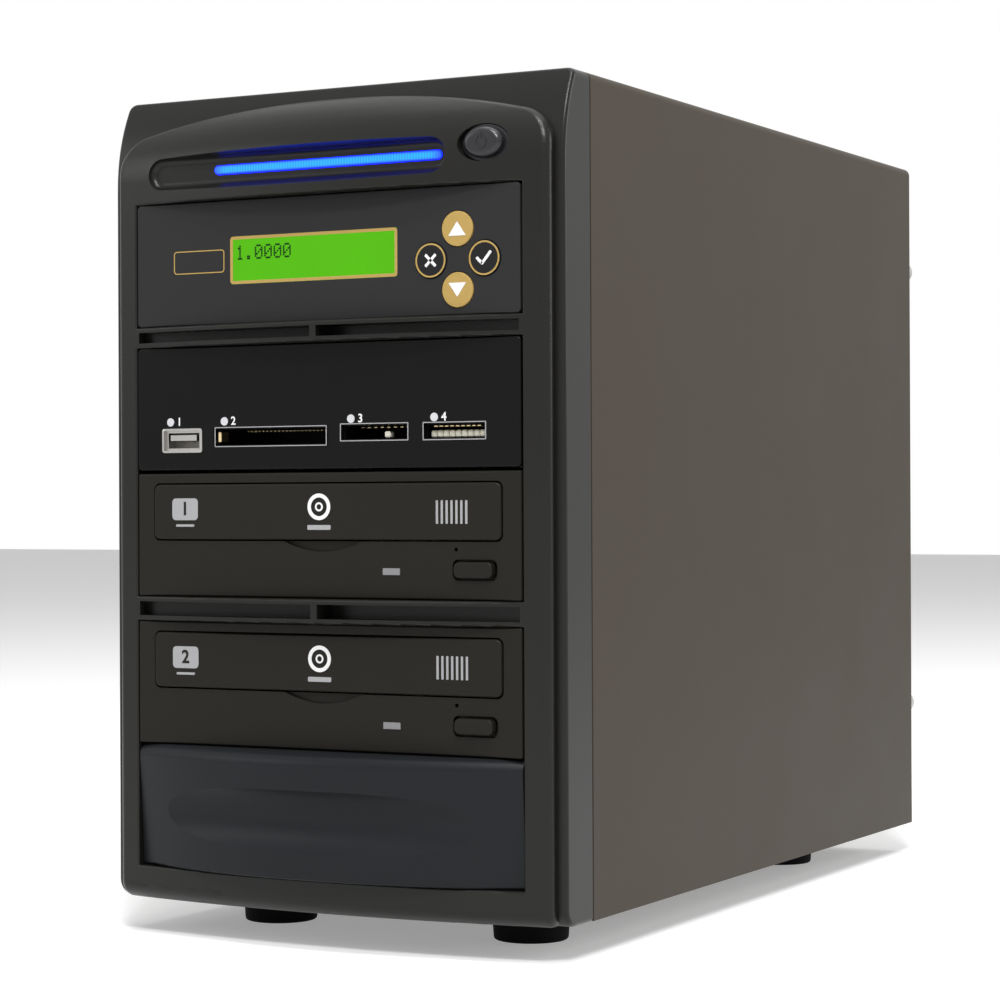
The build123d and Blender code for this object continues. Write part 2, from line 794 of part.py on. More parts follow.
socket_wall = 1.0
usb_depth = 13.0
usb_flare = 1.2
usb_lip_wall = 0.7
tongue_width = 10.6
tongue_height = 1.9
tongue_front = 0.8
with BuildPart() as usb_socket:
    usb_low = reader_z + reader_board_up
    usb_high = reader_z + usb_up + usb_height / 2 + socket_wall
    with BuildSketch(front_plane(face_thickness)):
        with Locations((usb_x, (usb_low + usb_high) / 2)):
            Rectangle(usb_width + 2 * socket_wall, usb_high - usb_low)
    extrude(amount=-usb_depth)
    with BuildSketch(front_plane(-lamp_proud)):
        with Locations((usb_x, reader_z + usb_up)):
            RectangleRounded(usb_lip_width, usb_lip_height, 1)
    extrude(amount=-(lamp_proud + face_thickness))
    with BuildSketch(front_plane(-lamp_proud)):
        with Locations((usb_x, reader_z + usb_up)):
            Rectangle(usb_lip_width - 2 * usb_lip_wall, usb_lip_height - 2 * usb_lip_wall)
    extrude(amount=-usb_flare, mode=Mode.SUBTRACT)
    with BuildSketch(front_plane(0)):
        with Locations((usb_x, reader_z + usb_up)):
            Rectangle(usb_width, usb_height)
    extrude(amount=-(face_thickness + usb_depth - socket_wall), mode=Mode.SUBTRACT)
    with BuildSketch(front_plane(tongue_front)):
        with Locations((usb_x, reader_z + usb_up + tongue_height / 2)):
            Rectangle(tongue_width, tongue_height)
    extrude(amount=-(face_thickness + usb_depth - socket_wall - tongue_front))
save(usb_socket, "usb_socket")


def card_socket(x, up, width, height, depth):
    """Card socket on the reader's board, open to the front."""
    low = reader_z + reader_board_up
    high = reader_z + up + height / 2 + socket_wall
    with BuildPart() as socket:
        with BuildSketch(front_plane(face_thickness)):
            with Locations((x, (low + high) / 2)):
                Rectangle(width + 2 * socket_wall, high - low)
        extrude(amount=-(depth + socket_wall))
        with BuildSketch(front_plane(0)):
            with Locations((x, reader_z + up)):
                Rectangle(width, height)
        extrude(amount=-(face_thickness + depth), mode=Mode.SUBTRACT)
    return socket


cf_socket = card_socket(cf_x, cf_up, 43.4, 5.4, 26)
save(cf_socket, "cf_socket")
sd_socket = card_socket(sd_x, sd_up, 24.8, 4.5, 22)
save(sd_socket, "sd_socket")
ms_socket = card_socket(ms_x, ms_up, 22.2, 4.5, 20)
save(ms_socket, "ms_socket")

# ---------------------------------------------------------------- disc drives
tray_gap = 0.5
tray_window_corner = 2.4
tray_front_middle = tray_front_bottom + tray_front_height / 2
tray_front_thickness = drive_face_thickness + tray_front_proud
rim_depth = drive_front - drive_face_thickness
notch_half = 15.0
notch_drop = 3.4
notch_depth = 1.4
drive_lamp_x, drive_lamp_up = 26.25, 9.2
drive_lamp_width, drive_lamp_height = 6.4, 2.2
eject_x, eject_up = 57.15, 9.9
eject_pocket_width, eject_pocket_height = 16.3, 6.85
eject_pocket_depth = 2.4
eject_width, eject_height = 14.0, 5.2
eject_proud = 1.8
eject_travel = 1.0
eject_stem_width, eject_stem_height = 10.0, 3.0
pinhole_x, pinhole_up = 50.3, 16.5
pinhole = 1.4
case_rise = (unit_height - drive_height) / 2
rail_gap = fit
recess_depth = 2.2
small_disc = 80.0
small_recess = 1.0
deck_up = 9.0
deck_thickness = 1.5
motor_diameter = 24.0
motor_top = 19.0
shaft_diameter = 3.0
turntable_diameter = 30.0
turntable_low = 21.0
hub_diameter = 14.6
rod_diameter = 3.0
rod_x = 27.0
rod_up = 14.0
rod_block = 6.0
sled_length = 16.0
sled_width = 62.0
sled_home = disc_centre_depth + 26.0
sled_height = 6.0
lens_diameter = 7.0
turntable_top = tray_top - recess_depth + fit
tray_bottom = tray_top - tray_rail
deck_half = 36.0
deck_front = disc_centre_depth - 20.0
rod_front = sled_home - sled_length / 2 - 1.0 - rod_block
rod_back = sled_home + sled_travel + sled_length / 2 + 1.0 + rod_block
deck_back = rod_back + 2.0
case_floor = case_rise + sheet

for number, z in ((1, drive_1_z), (2, drive_2_z)):
    with BuildPart() as drive_case:
        with BuildSketch(front_plane(drive_front)):
            with Locations((0, z + unit_height / 2)):
                Rectangle(unit_width, drive_height)
        extrude(amount=-drive_length)
        with BuildSketch(front_plane(drive_front)):
            with Locations((0, z + unit_height / 2)):
                Rectangle(unit_width - 2 * sheet, drive_height - 2 * sheet)
        extrude(amount=-(drive_length - sheet), mode=Mode.SUBTRACT)
        guide_width = (unit_width - 2 * sheet - tray_width) / 2 + 3
        guide_x = (unit_width - 2 * sheet - guide_width) / 2
        with BuildSketch(front_plane(drive_front + 4)):
            with Locations((0, z + tray_bottom - rail_gap - 1)):
                with GridLocations(2 * guide_x, 0, 2, 1):
                    Rectangle(guide_width, 2)
            with Locations((0, z + tray_top + rail_gap + 1)):
                with GridLocations(2 * guide_x, 0, 2, 1):
                    Rectangle(guide_width, 2)
        extrude(amount=-(drive_length - 4 - sheet))
    save(drive_case, f"drive_case_{number}")

    with BuildPart() as drive_bezel:
        with BuildSketch(front_plane(0)):
            with Locations((0, z + unit_height / 2)):
                RectangleRounded(face_width, face_height, 0.8)
        extrude(amount=-drive_face_thickness)
        fillet(drive_bezel.faces().sort_by(Axis.Y)[0].edges(), 0.6)
        with BuildSketch(front_plane(drive_face_thickness)):
            with Locations((0, z + unit_height / 2)):
                Rectangle(unit_width, drive_height)
                Rectangle(unit_width - 5, drive_height - 2, mode=Mode.SUBTRACT)
        extrude(amount=-rim_depth)
        with BuildSketch(front_plane(-1)):
            with Locations((0, z + tray_front_middle)):
                RectangleRounded(
                    tray_front_width + 2 * tray_gap,
                    tray_front_height + 2 * tray_gap,
                    tray_window_corner,
                )
            with Locations((drive_lamp_x, z + drive_lamp_up)):
                Rectangle(drive_lamp_width + 2 * press_fit, drive_lamp_height + 2 * press_fit)
            with Locations((pinhole_x, z + pinhole_up)):
                Circle(pinhole / 2)
            with Locations((eject_x, z + eject_up)):
                Rectangle(eject_stem_width + 2 * fit, eject_stem_height + 2 * fit)
        extrude(amount=-(drive_front + 2), mode=Mode.SUBTRACT)
        with BuildSketch(front_plane(-1)):
            with Locations((eject_x, z + eject_up)):
                RectangleRounded(eject_pocket_width, eject_pocket_height, 2)
        extrude(amount=-(1 + eject_pocket_depth), mode=Mode.SUBTRACT)
        window_low = z + tray_front_bottom - tray_gap
        with BuildSketch(front_plane(-1)):
            with BuildLine():
                ThreePointArc(
                    (-notch_half, window_low),
                    (0, window_low - notch_drop),
                    (notch_half, window_low),
                )
                Polyline(
                    (notch_half, window_low),
                    (notch_half, window_low + 1),
                    (-notch_half, window_low + 1),
                    (-notch_half, window_low),
                )
            make_face()
        extrude(amount=-(1 + notch_depth), mode=Mode.SUBTRACT)
    save(drive_bezel, f"drive_bezel_{number}")

    with BuildPart() as tray_front:
        with BuildSketch(front_plane(-tray_front_proud)):
            with Locations((0, z + tray_front_middle)):
                RectangleRounded(tray_front_width, tray_front_height, 2.2)
        extrude(amount=-tray_front_thickness)
        fillet(tray_front.faces().sort_by(Axis.Y)[0].edges(), 0.7)
    save(tray_front, f"tray_front_{number}")

    disc_y = face_y + disc_centre_depth
    tray_y = face_y + drive_face_thickness + tray_length / 2
    with BuildPart() as disc_tray:
        with BuildSketch(Plane.XY.offset(z + tray_top - tray_plate)):
            with Locations((0, tray_y)):
                Rectangle(tray_width, tray_length)
        extrude(amount=tray_plate)
        with BuildSketch(Plane.XY.offset(z + tray_bottom)):
            with Locations((0, tray_y)):
                with GridLocations(tray_width - 3, 0, 2, 1):
                    Rectangle(3, tray_length)
        extrude(amount=tray_rail)
        with BuildSketch(Plane.XY.offset(z + tray_top)):
            with Locations((0, disc_y)):
                Circle(disc_diameter / 2 + 0.6)
        extrude(amount=-recess_depth, mode=Mode.SUBTRACT)
        with BuildSketch(Plane.XY.offset(z + tray_top)):
            with Locations((0, disc_y)):
                Circle(small_disc / 2 + 0.5)
        extrude(amount=-(recess_depth + small_recess), mode=Mode.SUBTRACT)
        with BuildSketch(Plane.XY.offset(z + tray_top)):
            with Locations((0, disc_y)):
                Circle(tray_slot / 2)
            with Locations((0, disc_y + tray_length / 2)):
                Rectangle(tray_slot, tray_length)
        extrude(amount=-tray_rail, mode=Mode.SUBTRACT)
    save(disc_tray, f"disc_tray_{number}")

    with BuildPart() as eject_button:
        with BuildSketch(front_plane(-eject_proud)):
            with Locations((eject_x, z + eject_up)):
                RectangleRounded(eject_width, eject_height, 1.9)
        extrude(amount=-(eject_proud + eject_pocket_depth - eject_travel - fit))
        fillet(eject_button.faces().sort_by(Axis.Y)[0].edges(), 0.6)
        with BuildSketch(front_plane(0)):
            with Locations((eject_x, z + eject_up)):
                Rectangle(eject_stem_width, eject_stem_height)
        extrude(amount=-(drive_front + 2))
    save(eject_button, f"eject_button_{number}")

    with BuildPart() as drive_lamp:
        with BuildSketch(front_plane(-0.2)):
            with Locations((drive_lamp_x, z + drive_lamp_up)):
                Rectangle(drive_lamp_width, drive_lamp_height)
        extrude(amount=-(0.2 + drive_front))
    save(drive_lamp, f"drive_lamp_{number}")

    deck_y = face_y + (deck_front + deck_back) / 2
    window_front = disc_centre_depth + motor_diameter / 2 + 2
    with BuildPart() as pickup_chassis:
        with BuildSketch(Plane.XY.offset(z + deck_up)):
            with Locations((0, deck_y)):
                Rectangle(2 * deck_half, deck_back - deck_front)
            with Locations((0, face_y + (window_front + deck_back - rod_block) / 2)):
                Rectangle(36, deck_back - rod_block - window_front, mode=Mode.SUBTRACT)
        extrude(amount=deck_thickness)
        with BuildSketch(Plane.XY.offset(z + case_floor)):
            with Locations((0, deck_y)):
                with GridLocations(2 * deck_half - 8, deck_back - deck_front - 8, 2, 2):
                    Circle(standoff_diameter / 2)
        extrude(amount=deck_up - case_floor)
        for depth in (rod_front, rod_back - rod_block):
            with BuildSketch(front_plane(depth)):
                with Locations((0, z + deck_up + deck_thickness)):
                    with GridLocations(2 * rod_x, 0, 2, 1):
                        Rectangle(
                            rod_block,
                            rod_up + rod_diameter - deck_up,
                            align=(Align.CENTER, Align.MIN),
                        )
            extrude(amount=-rod_block)
        with BuildSketch(front_plane(rod_front + 1)):
            with Locations((0, z + rod_up)):
                with GridLocations(2 * rod_x, 0, 2, 1):
                    Circle(rod_diameter / 2)
        extrude(amount=-(rod_back - rod_front - 2))
    save(pickup_chassis, f"pickup_chassis_{number}")

    with BuildPart() as spindle_motor:
        with BuildSketch(Plane.XY.offset(z + deck_up + deck_thickness)):
            with Locations((0, disc_y)):
                Circle(motor_diameter / 2)
        extrude(amount=motor_top - deck_up - deck_thickness)
        with BuildSketch(Plane.XY.offset(z + motor_top)):
            with Locations((0, disc_y)):
                Circle(shaft_diameter / 2)
        extrude(amount=turntable_top - motor_top)
    save(spindle_motor, f"spindle_motor_{number}")

    with BuildPart() as turntable:
        with BuildSketch(Plane.XY.offset(z + turntable_low)):
            with Locations((0, disc_y)):
                Circle(hub_diameter / 2)
        extrude(amount=turntable_top - turntable_low)
        with BuildSketch(Plane.XY.offset(z + turntable_top)):
            with Locations((0, disc_y)):
                Circle(turntable_diameter / 2)
        extrude(amount=-2.5)
        with BuildSketch(Plane.XY.offset(z + turntable_top)):
            with Locations((0, disc_y)):
                Circle(hub_diameter / 2)
        extrude(amount=2.0, taper=15)
        with BuildSketch(Plane.XY.offset(z + turntable_low)):
            with Locations((0, disc_y)):
                Circle(shaft_diameter / 2 + running)
        extrude(amount=tray_top, mode=Mode.SUBTRACT)
    save(turntable, f"turntable_{number}")

    with BuildPart() as pickup_sled:
        with BuildSketch(Plane.XY.offset(z + rod_up - sled_height / 2)):
            with Locations((0, face_y + sled_home)):
                Rectangle(sled_width, sled_length)
        extrude(amount=sled_height)
        with BuildSketch(Plane.XY.offset(z + rod_up)):
            with Locations((0, face_y + sled_home)):
                Rectangle(24, sled_length - 2)
        extrude(amount=6)
        with BuildSketch(Plane.XY.offset(z + rod_up)):
            with Locations((0, face_y + sled_home)):
                Circle(lens_diameter / 2)
        extrude(amount=8)
        with BuildSketch(front_plane(sled_home - sled_length)):
            with Locations((0, z + rod_up)):
                with GridLocations(2 * rod_x, 0, 2, 1):
                    Circle(rod_diameter / 2 + running)
        extrude(amount=-2 * sled_length, mode=Mode.SUBTRACT)
    save(pickup_sled, f"pickup_sled_{number}")

# ---------------------------------------------------------------- blank bay cover
cover_radius = ((face_width / 2) ** 2 + cover_bow**2) / (2 * cover_bow)
cover_turn = 24.0
cover_low = cover_z + face_clearance
cover_high = cover_low + face_height
cover_crisp = 1.0
cover_wall = 2.4
cover_back = cover_lean + cover_wall
dish_z = (cover_low + cover_high) / 2 - 2
dish_curve = ((dish_height / 2) ** 2 + dish_depth**2) / (2 * dish_depth)
dish_fade = (dish_width / 2) ** 2 / (2 * cover_radius)
dish_axis_y = face_y - cover_bow + cover_lean / 2 - (dish_curve - dish_depth)
dish_overrun = 8.0
dish_end = dish_curve + (dish_fade - dish_depth) * (1 + 2 * dish_overrun / dish_width) ** 2
inner_bow = cover_bow - cover_lean / 2 - dish_depth - cover_wall
clip_height = 24.0
clip_length = 12.0

with BuildPart() as dish:
    with BuildSketch(Plane(origin=(0, dish_axis_y, dish_z), x_dir=(1, 0, 0), z_dir=(0, 0, 1))):
        with BuildLine():
            half = dish_width / 2 + dish_overrun
            ThreePointArc((-half, dish_end), (0, dish_curve), (half, dish_end))
            Polyline((half, dish_end), (half, 0), (-half, 0), (-half, dish_end))
        make_face()
    revolve(axis=Axis((0, dish_axis_y, dish_z), (1, 0, 0)), revolution_arc=360)

with BuildPart() as bay_cover:
    with BuildSketch(bow_plane(cover_radius, face_y - cover_bow, cover_turn)) as cover_profile:
        with BuildLine():
            Polyline(
                (cover_radius - cover_lean, cover_low),
                (cover_radius, cover_high),
                (cover_radius - 2 * cover_bow - clip_length, cover_high),
                (cover_radius - 2 * cover_bow - clip_length, cover_low),
                (cover_radius - cover_lean, cover_low),
            )
        make_face()
        fillet(cover_profile.vertices().sort_by(Axis.X)[-1], cover_soft)
        fillet(cover_profile.vertices().group_by(Axis.Y)[0].sort_by(Axis.X)[-1], cover_crisp)
    revolve(axis=bow_axis(cover_radius, face_y - cover_bow), revolution_arc=2 * cover_turn)
    with BuildSketch(front_plane(-cover_bow - 1)):
        with Locations((0, (cover_low + cover_high) / 2)):
            Rectangle(face_width, face_height)
    extrude(amount=-(cover_bow + 1 + cover_back), mode=Mode.INTERSECT)
    add(dish.part, mode=Mode.SUBTRACT)
    with BuildSketch(Plane.XY.offset(cover_low + cover_wall)):
        half = face_width / 2 - cover_wall
        with BuildLine():
            hollow_y = face_y + cover_lean
            ThreePointArc((-half, hollow_y), (0, face_y - inner_bow), (half, hollow_y))
            Polyline(
                (half, hollow_y),
                (half, face_y + cover_back),
                (-half, face_y + cover_back),
                (-half, hollow_y),
            )
        make_face()
    extrude(amount=face_height - 2 * cover_wall, mode=Mode.SUBTRACT)
    with BuildSketch(front_plane(cover_lean)):
        with Locations((0, (cover_low + cover_high) / 2)):
            with GridLocations(face_width - cover_wall, 0, 2, 1):
                Rectangle(cover_wall, clip_height)
    extrude(amount=-(clip_length - cover_lean))
    with BuildSketch(front_plane(clip_length - face_gap)):
        with Locations((0, (cover_low + cover_high) / 2)):
            with GridLocations(face_width + face_gap, 0, 2, 1):
                Rectangle(face_gap, clip_height / 2)
    extrude(amount=2.0)
save(bay_cover, "bay_cover")

# ---------------------------------------------------------------- power supply and fans
psu_back = rear_panel_depth
psu_front = psu_back - psu_length
psu_fan_x = -26.0
module_x = 50.0
inlet_z = psu_middle_z - 15.0
rocker_z = psu_middle_z + 16.0
socket_width = 32.0
socket_height = 58.0
socket_corner = 2.0

with BuildPart() as psu_case:
    with BuildSketch(front_plane(psu_front)):
        with Locations((0, psu_middle_z)):
            Rectangle(psu_width, psu_height)
    extrude(amount=-psu_length)
    with BuildSketch(front_plane(psu_front + sheet)):
        with Locations((0, psu_middle_z)):
            Rectangle(psu_width - 2 * sheet, psu_height - 2 * sheet)
    extrude(amount=-(psu_length - 2 * sheet), mode=Mode.SUBTRACT)
    with BuildSketch(front_plane(psu_back - sheet)):
        for height, length in grille_rows():
            with Locations((psu_fan_x, psu_middle_z + height)):
                SlotOverall(length, grille_slot)
        with Locations((module_x, psu_middle_z)):
            Rectangle(socket_width - 4, socket_height - 4)
    extrude(amount=-sheet, mode=Mode.SUBTRACT)
    with BuildSketch(front_plane(psu_front)):
        with Locations((0, psu_middle_z)):
            with GridLocations(12, 0, 9, 1):
                SlotOverall(60, 4, rotation=90)
    extrude(amount=-sheet, mode=Mode.SUBTRACT)
save(psu_case, "psu_case")

hub_fan = 30.0
cup_depth = 5.0
strut_width = 4.0
blade_gap = 1.0
fan_shaft = 3.0
fan_frame_corner = 4.0


def fan_frame(x, z, back):
    """Square fan frame with a motor cup on four struts at its back."""
    with BuildPart() as frame:
        with BuildSketch(front_plane(back)):
            with Locations((x, z)):
                RectangleRounded(fan_size, fan_size, fan_frame_corner)
                Circle(fan_grille / 2, mode=Mode.SUBTRACT)
        extrude(amount=fan_depth)
        with BuildSketch(front_plane(back)):
            with Locations((x, z)):
                Circle(hub_fan / 2)
                Rectangle(fan_grille + 2, strut_width, rotation=45)
                Rectangle(fan_grille + 2, strut_width, rotation=-45)
        extrude(amount=cup_depth)
        with BuildSketch(front_plane(back)):
            with Locations((x, z)):
                with GridLocations(fan_row, fan_row, 2, 2):
                    Circle(2.1)
                Circle(fan_shaft / 2 + running)
        extrude(amount=fan_depth, mode=Mode.SUBTRACT)
    return frame


def fan_rotor(x, z, back):
    """Fan wheel: a hub with pitched blades on a shaft that runs in the motor cup."""
    hub_back = back - cup_depth - fit
    hub_front = back - fan_depth + 1
    middle = (hub_back + hub_front) / 2
    with BuildPart() as rotor:
        with BuildSketch(front_plane(hub_back)):
            with Locations((x, z)):
                Circle(hub_fan / 2)
        extrude(amount=hub_back - hub_front)
        fillet(rotor.faces().sort_by(Axis.Y)[0].edges(), 1.5)
        blade_reach = fan_grille / 2 - blade_gap
        with Locations(Location(front_plane(middle)) * Location((x, z, 0))):
            with PolarLocations(blade_reach / 2 + 4, fan_blades):
                Box(blade_reach - 8, 2, hub_back - hub_front - 1, rotation=(38, 0, 0))
        with BuildSketch(front_plane(hub_back)):
            with Locations((x, z)):
                Circle(blade_reach)
        extrude(amount=hub_back - hub_front, mode=Mode.INTERSECT)
        with BuildSketch(front_plane(hub_back)):
            with Locations((x, z)):
                Circle(fan_shaft / 2)
        extrude(amount=-(cup_depth - 1))
    return rotor


psu_fan_back = psu_back - sheet
save(fan_frame(psu_fan_x, psu_middle_z, psu_fan_back), "psu_fan_frame")
save(fan_rotor(psu_fan_x, psu_middle_z, psu_fan_back), "psu_fan_rotor")
save(fan_frame(0, case_fan_z, rear_panel_depth), "case_fan_frame")
save(fan_rotor(0, case_fan_z, rear_panel_depth), "case_fan_rotor")

inlet_width, inlet_height = 24.4, 16.8
inlet_depth = 14.0
blade_size = (2.0, 5.0)
blade_spread = 7.0
well_width, well_height = 15.0, 22.0
well_depth = 12.0
pivot_depth = 1.6
pivot_diameter = 2.4
rocker_radius = 9.6
socket_face = psu_back + 2.0
socket_back = psu_back - inlet_depth - 3

with BuildPart() as mains_inlet:
    with BuildSketch(front_plane(psu_back)):
        with Locations((module_x, psu_middle_z)):
            RectangleRounded(socket_width, socket_height, socket_corner)
    extrude(amount=-(socket_face - psu_back))
    with BuildSketch(front_plane(psu_back)):
        with Locations((module_x, psu_middle_z)):
            Rectangle(socket_width - 4 - 2 * press_fit, socket_height - 4 - 2 * press_fit)
    extrude(amount=psu_back - socket_back)
    with BuildSketch(front_plane(socket_face)) as inlet_mouth:
        with Locations((module_x, inlet_z)):
            Rectangle(inlet_width, inlet_height)
        chamfer(inlet_mouth.vertices().group_by(Axis.Y)[-1], 4)
    extrude(amount=inlet_depth, mode=Mode.SUBTRACT)
    with BuildSketch(front_plane(socket_face - 2)):
        with Locations((module_x, inlet_z - 2)):
            with GridLocations(2 * blade_spread, 0, 2, 1):
                Rectangle(*blade_size)
        with Locations((module_x, inlet_z + 2)):
            Rectangle(*blade_size)
    extrude(amount=inlet_depth - 2)
    with BuildSketch(front_plane(socket_face)):
        with Locations((module_x, rocker_z)):
            Rectangle(well_width, well_height)
    extrude(amount=well_depth, mode=Mode.SUBTRACT)
    with BuildSketch(Plane.YZ.offset(module_x - well_width / 2 - 2)):
        with Locations((face_y + socket_face - pivot_depth, rocker_z)):
            Circle(pivot_diameter / 2 + running)
    extrude(amount=well_width + 4, mode=Mode.SUBTRACT)
save(mains_inlet, "mains_inlet")

rocker_tilt = 10.0
rocker_width = well_width - 2 * fit
with BuildPart() as rocker_switch:
    pivot = (face_y + socket_face - pivot_depth, rocker_z)
    with BuildSketch(Plane.YZ.offset(module_x - rocker_width / 2)):
        with Locations(pivot):
            Circle(rocker_radius)
            with Locations((rocker_radius + 1, 0)):
                Rectangle(2 * rocker_radius, 4 * rocker_radius, rotation=rocker_tilt, mode=Mode.SUBTRACT)
            with Locations((-rocker_radius - 5, 0)):
                Rectangle(2 * rocker_radius, 4 * rocker_radius, rotation=rocker_tilt, mode=Mode.SUBTRACT)
    extrude(amount=rocker_width)
    with BuildSketch(Plane.YZ.offset(module_x - well_width / 2 - 1.5)):
        with Locations(pivot):
            Circle(pivot_diameter / 2)
    extrude(amount=well_width + 3)
save(rocker_switch, "rocker_switch")
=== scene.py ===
"""Dresses the disc duplicator tower: finishes, printed marks, contacts, screws and the studio."""

import json
import math

import bpy
from mathutils import Matrix, Vector

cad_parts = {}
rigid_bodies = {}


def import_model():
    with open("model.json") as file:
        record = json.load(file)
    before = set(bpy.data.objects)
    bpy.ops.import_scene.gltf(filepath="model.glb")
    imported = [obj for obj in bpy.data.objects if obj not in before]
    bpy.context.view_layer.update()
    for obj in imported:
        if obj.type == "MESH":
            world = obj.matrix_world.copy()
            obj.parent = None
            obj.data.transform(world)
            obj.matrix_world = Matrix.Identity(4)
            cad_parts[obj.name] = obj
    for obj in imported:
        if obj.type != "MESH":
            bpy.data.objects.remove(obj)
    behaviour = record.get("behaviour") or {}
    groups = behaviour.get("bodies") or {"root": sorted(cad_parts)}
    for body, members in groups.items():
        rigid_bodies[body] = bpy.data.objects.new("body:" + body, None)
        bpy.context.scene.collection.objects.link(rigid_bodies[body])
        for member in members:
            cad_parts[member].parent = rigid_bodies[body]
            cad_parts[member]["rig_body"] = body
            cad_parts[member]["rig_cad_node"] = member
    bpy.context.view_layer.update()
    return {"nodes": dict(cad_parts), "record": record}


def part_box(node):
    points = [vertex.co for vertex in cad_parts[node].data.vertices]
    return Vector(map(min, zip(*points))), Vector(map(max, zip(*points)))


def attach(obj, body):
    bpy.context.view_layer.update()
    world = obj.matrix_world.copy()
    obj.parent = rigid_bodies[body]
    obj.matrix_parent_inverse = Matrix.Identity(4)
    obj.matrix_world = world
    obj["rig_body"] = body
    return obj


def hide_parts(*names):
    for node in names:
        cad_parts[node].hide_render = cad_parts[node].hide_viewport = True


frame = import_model()

bl_info = {
    "name": "Disc duplicator tower",
    "version": (1, 0, 0),
    "blender": (4, 5, 0),
    "location": "View3D > Sidebar > Tower",
    "description": "Finishes, marks and studio for a disc duplicator tower",
    "category": "Object",
}

MM = 0.001
FACE_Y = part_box("control_plate")[0].y
READER_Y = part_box("reader_plate")[0].y
PRINT = 0.12 * MM  # how far printed marks stand off their face
SMOOTH_ANGLE = math.radians(32)
BEVEL_ANGLE = math.radians(50)
MERGE_DISTANCE = 0.002 * MM


# ---------------------------------------------------------------- settings
class TowerColours(bpy.types.PropertyGroup):
    """Colours of the tower's finishes."""

    case: bpy.props.FloatVectorProperty(
        name="Case paint", description="Satin paint of the wrap-around cover",
        subtype="COLOR", size=3, min=0, max=1, default=(0.040, 0.0315, 0.0215))
    bezel: bpy.props.FloatVectorProperty(
        name="Bezel", description="Moulded front bezel",
        subtype="COLOR", size=3, min=0, max=1, default=(0.009, 0.0088, 0.0078))
    panel: bpy.props.FloatVectorProperty(
        name="Control plate", description="Plate round the display and keys",
        subtype="COLOR", size=3, min=0, max=1, default=(0.020, 0.020, 0.021))
    reader: bpy.props.FloatVectorProperty(
        name="Reader plate", description="Glossy card reader plate",
        subtype="COLOR", size=3, min=0, max=1, default=(0.004, 0.004, 0.004))
    drive: bpy.props.FloatVectorProperty(
        name="Drive faces", description="Drive bezels, tray fronts and eject buttons",
        subtype="COLOR", size=3, min=0, max=1, default=(0.012, 0.0108, 0.0085))
    cover: bpy.props.FloatVectorProperty(
        name="Bay cover", description="Blank cover under the drives",
        subtype="COLOR", size=3, min=0, max=1, default=(0.011, 0.012, 0.014))
    gold: bpy.props.FloatVectorProperty(
        name="Gold print", description="Window frame, key rings and gold keys",
        subtype="COLOR", size=3, min=0, max=1, default=(0.40, 0.27, 0.085))
    display: bpy.props.FloatVectorProperty(
        name="Display", description="Lit display behind its window",
        subtype="COLOR", size=3, min=0, max=1, default=(0.085, 0.49, 0.0))
    light_core: bpy.props.FloatVectorProperty(
        name="Light bar core", description="Middle of the lit bar",
        subtype="COLOR", size=3, min=0, max=1, default=(0.0, 0.13, 0.6))
    light_edge: bpy.props.FloatVectorProperty(
        name="Light bar edge", description="Edges and ends of the lit bar",
        subtype="COLOR", size=3, min=0, max=1, default=(0.003, 0.004, 1.0))


class TowerMarks(bpy.types.PropertyGroup):
    """Sizes of the printed marks."""

    window_line: bpy.props.FloatProperty(
        name="Window frame line", description="Width of the gold line round the display",
        unit="LENGTH", default=1.05 * MM)
    ring_line: bpy.props.FloatProperty(
        name="Key ring line", description="Width of the gold ring on the dark keys",
        unit="LENGTH", default=0.55 * MM)
    key_stroke: bpy.props.FloatProperty(
        name="Key stroke", description="Width of the cross and tick on the dark keys",
        unit="LENGTH", default=0.95 * MM)
    lamp_text: bpy.props.FloatProperty(
        name="Lamp text", description="Height of the numbers beside the reader's lamps",
        unit="LENGTH", default=2.9 * MM)
    dot_width: bpy.props.FloatProperty(
        name="Dot width", description="Width of one dot of the display",
        unit="LENGTH", default=0.54 * MM)
    dot_height: bpy.props.FloatProperty(
        name="Dot height", description="Height of one dot of the display",
        unit="LENGTH", default=0.62 * MM)
    dot_step: bpy.props.FloatProperty(
        name="Dot step across", description="From one dot to the next across the display",
        unit="LENGTH", default=0.62 * MM)
    dot_rise: bpy.props.FloatProperty(
        name="Dot step up", description="From one dot to the next up the display",
        unit="LENGTH", default=0.70 * MM)


class TowerStage(bpy.types.PropertyGroup):
    """Camera and light."""

    camera_side: bpy.props.FloatProperty(
        name="Camera to the side", description="Right of the tower's middle",
        unit="LENGTH", default=0.47863)
    camera_back: bpy.props.FloatProperty(
        name="Camera distance", description="In front of the drive faces",
        unit="LENGTH", default=0.7743)
    camera_height: bpy.props.FloatProperty(
        name="Camera height", description="Above the floor",
        unit="LENGTH", default=0.1484)
    camera_turn: bpy.props.FloatProperty(
        name="Camera turn", description="Turned left from looking straight at the front",
        subtype="ANGLE", default=math.radians(28.03))
    camera_roll: bpy.props.FloatProperty(
        name="Camera roll", description="Roll about the line of sight",
        subtype="ANGLE", default=math.radians(-0.245))
    lens: bpy.props.FloatProperty(
        name="Lens", description="Focal length in millimetres on a 36 mm frame", default=99.0)
    world_level: bpy.props.FloatProperty(
        name="World light", description="Strength of the even light", min=0, default=0.25)


# ---------------------------------------------------------------- small tools
def only(piece):
    """Select and activate one object, with everything else deselected."""
    if bpy.context.mode != "OBJECT":
        bpy.ops.object.mode_set(mode="OBJECT")
    bpy.ops.object.select_all(action="DESELECT")
    piece.select_set(True)
    bpy.context.view_layer.objects.active = piece


def name_new(name):
    """The object an operator just added, renamed."""
    piece = bpy.context.active_object
    piece.name = name
    piece.data.name = name
    return piece


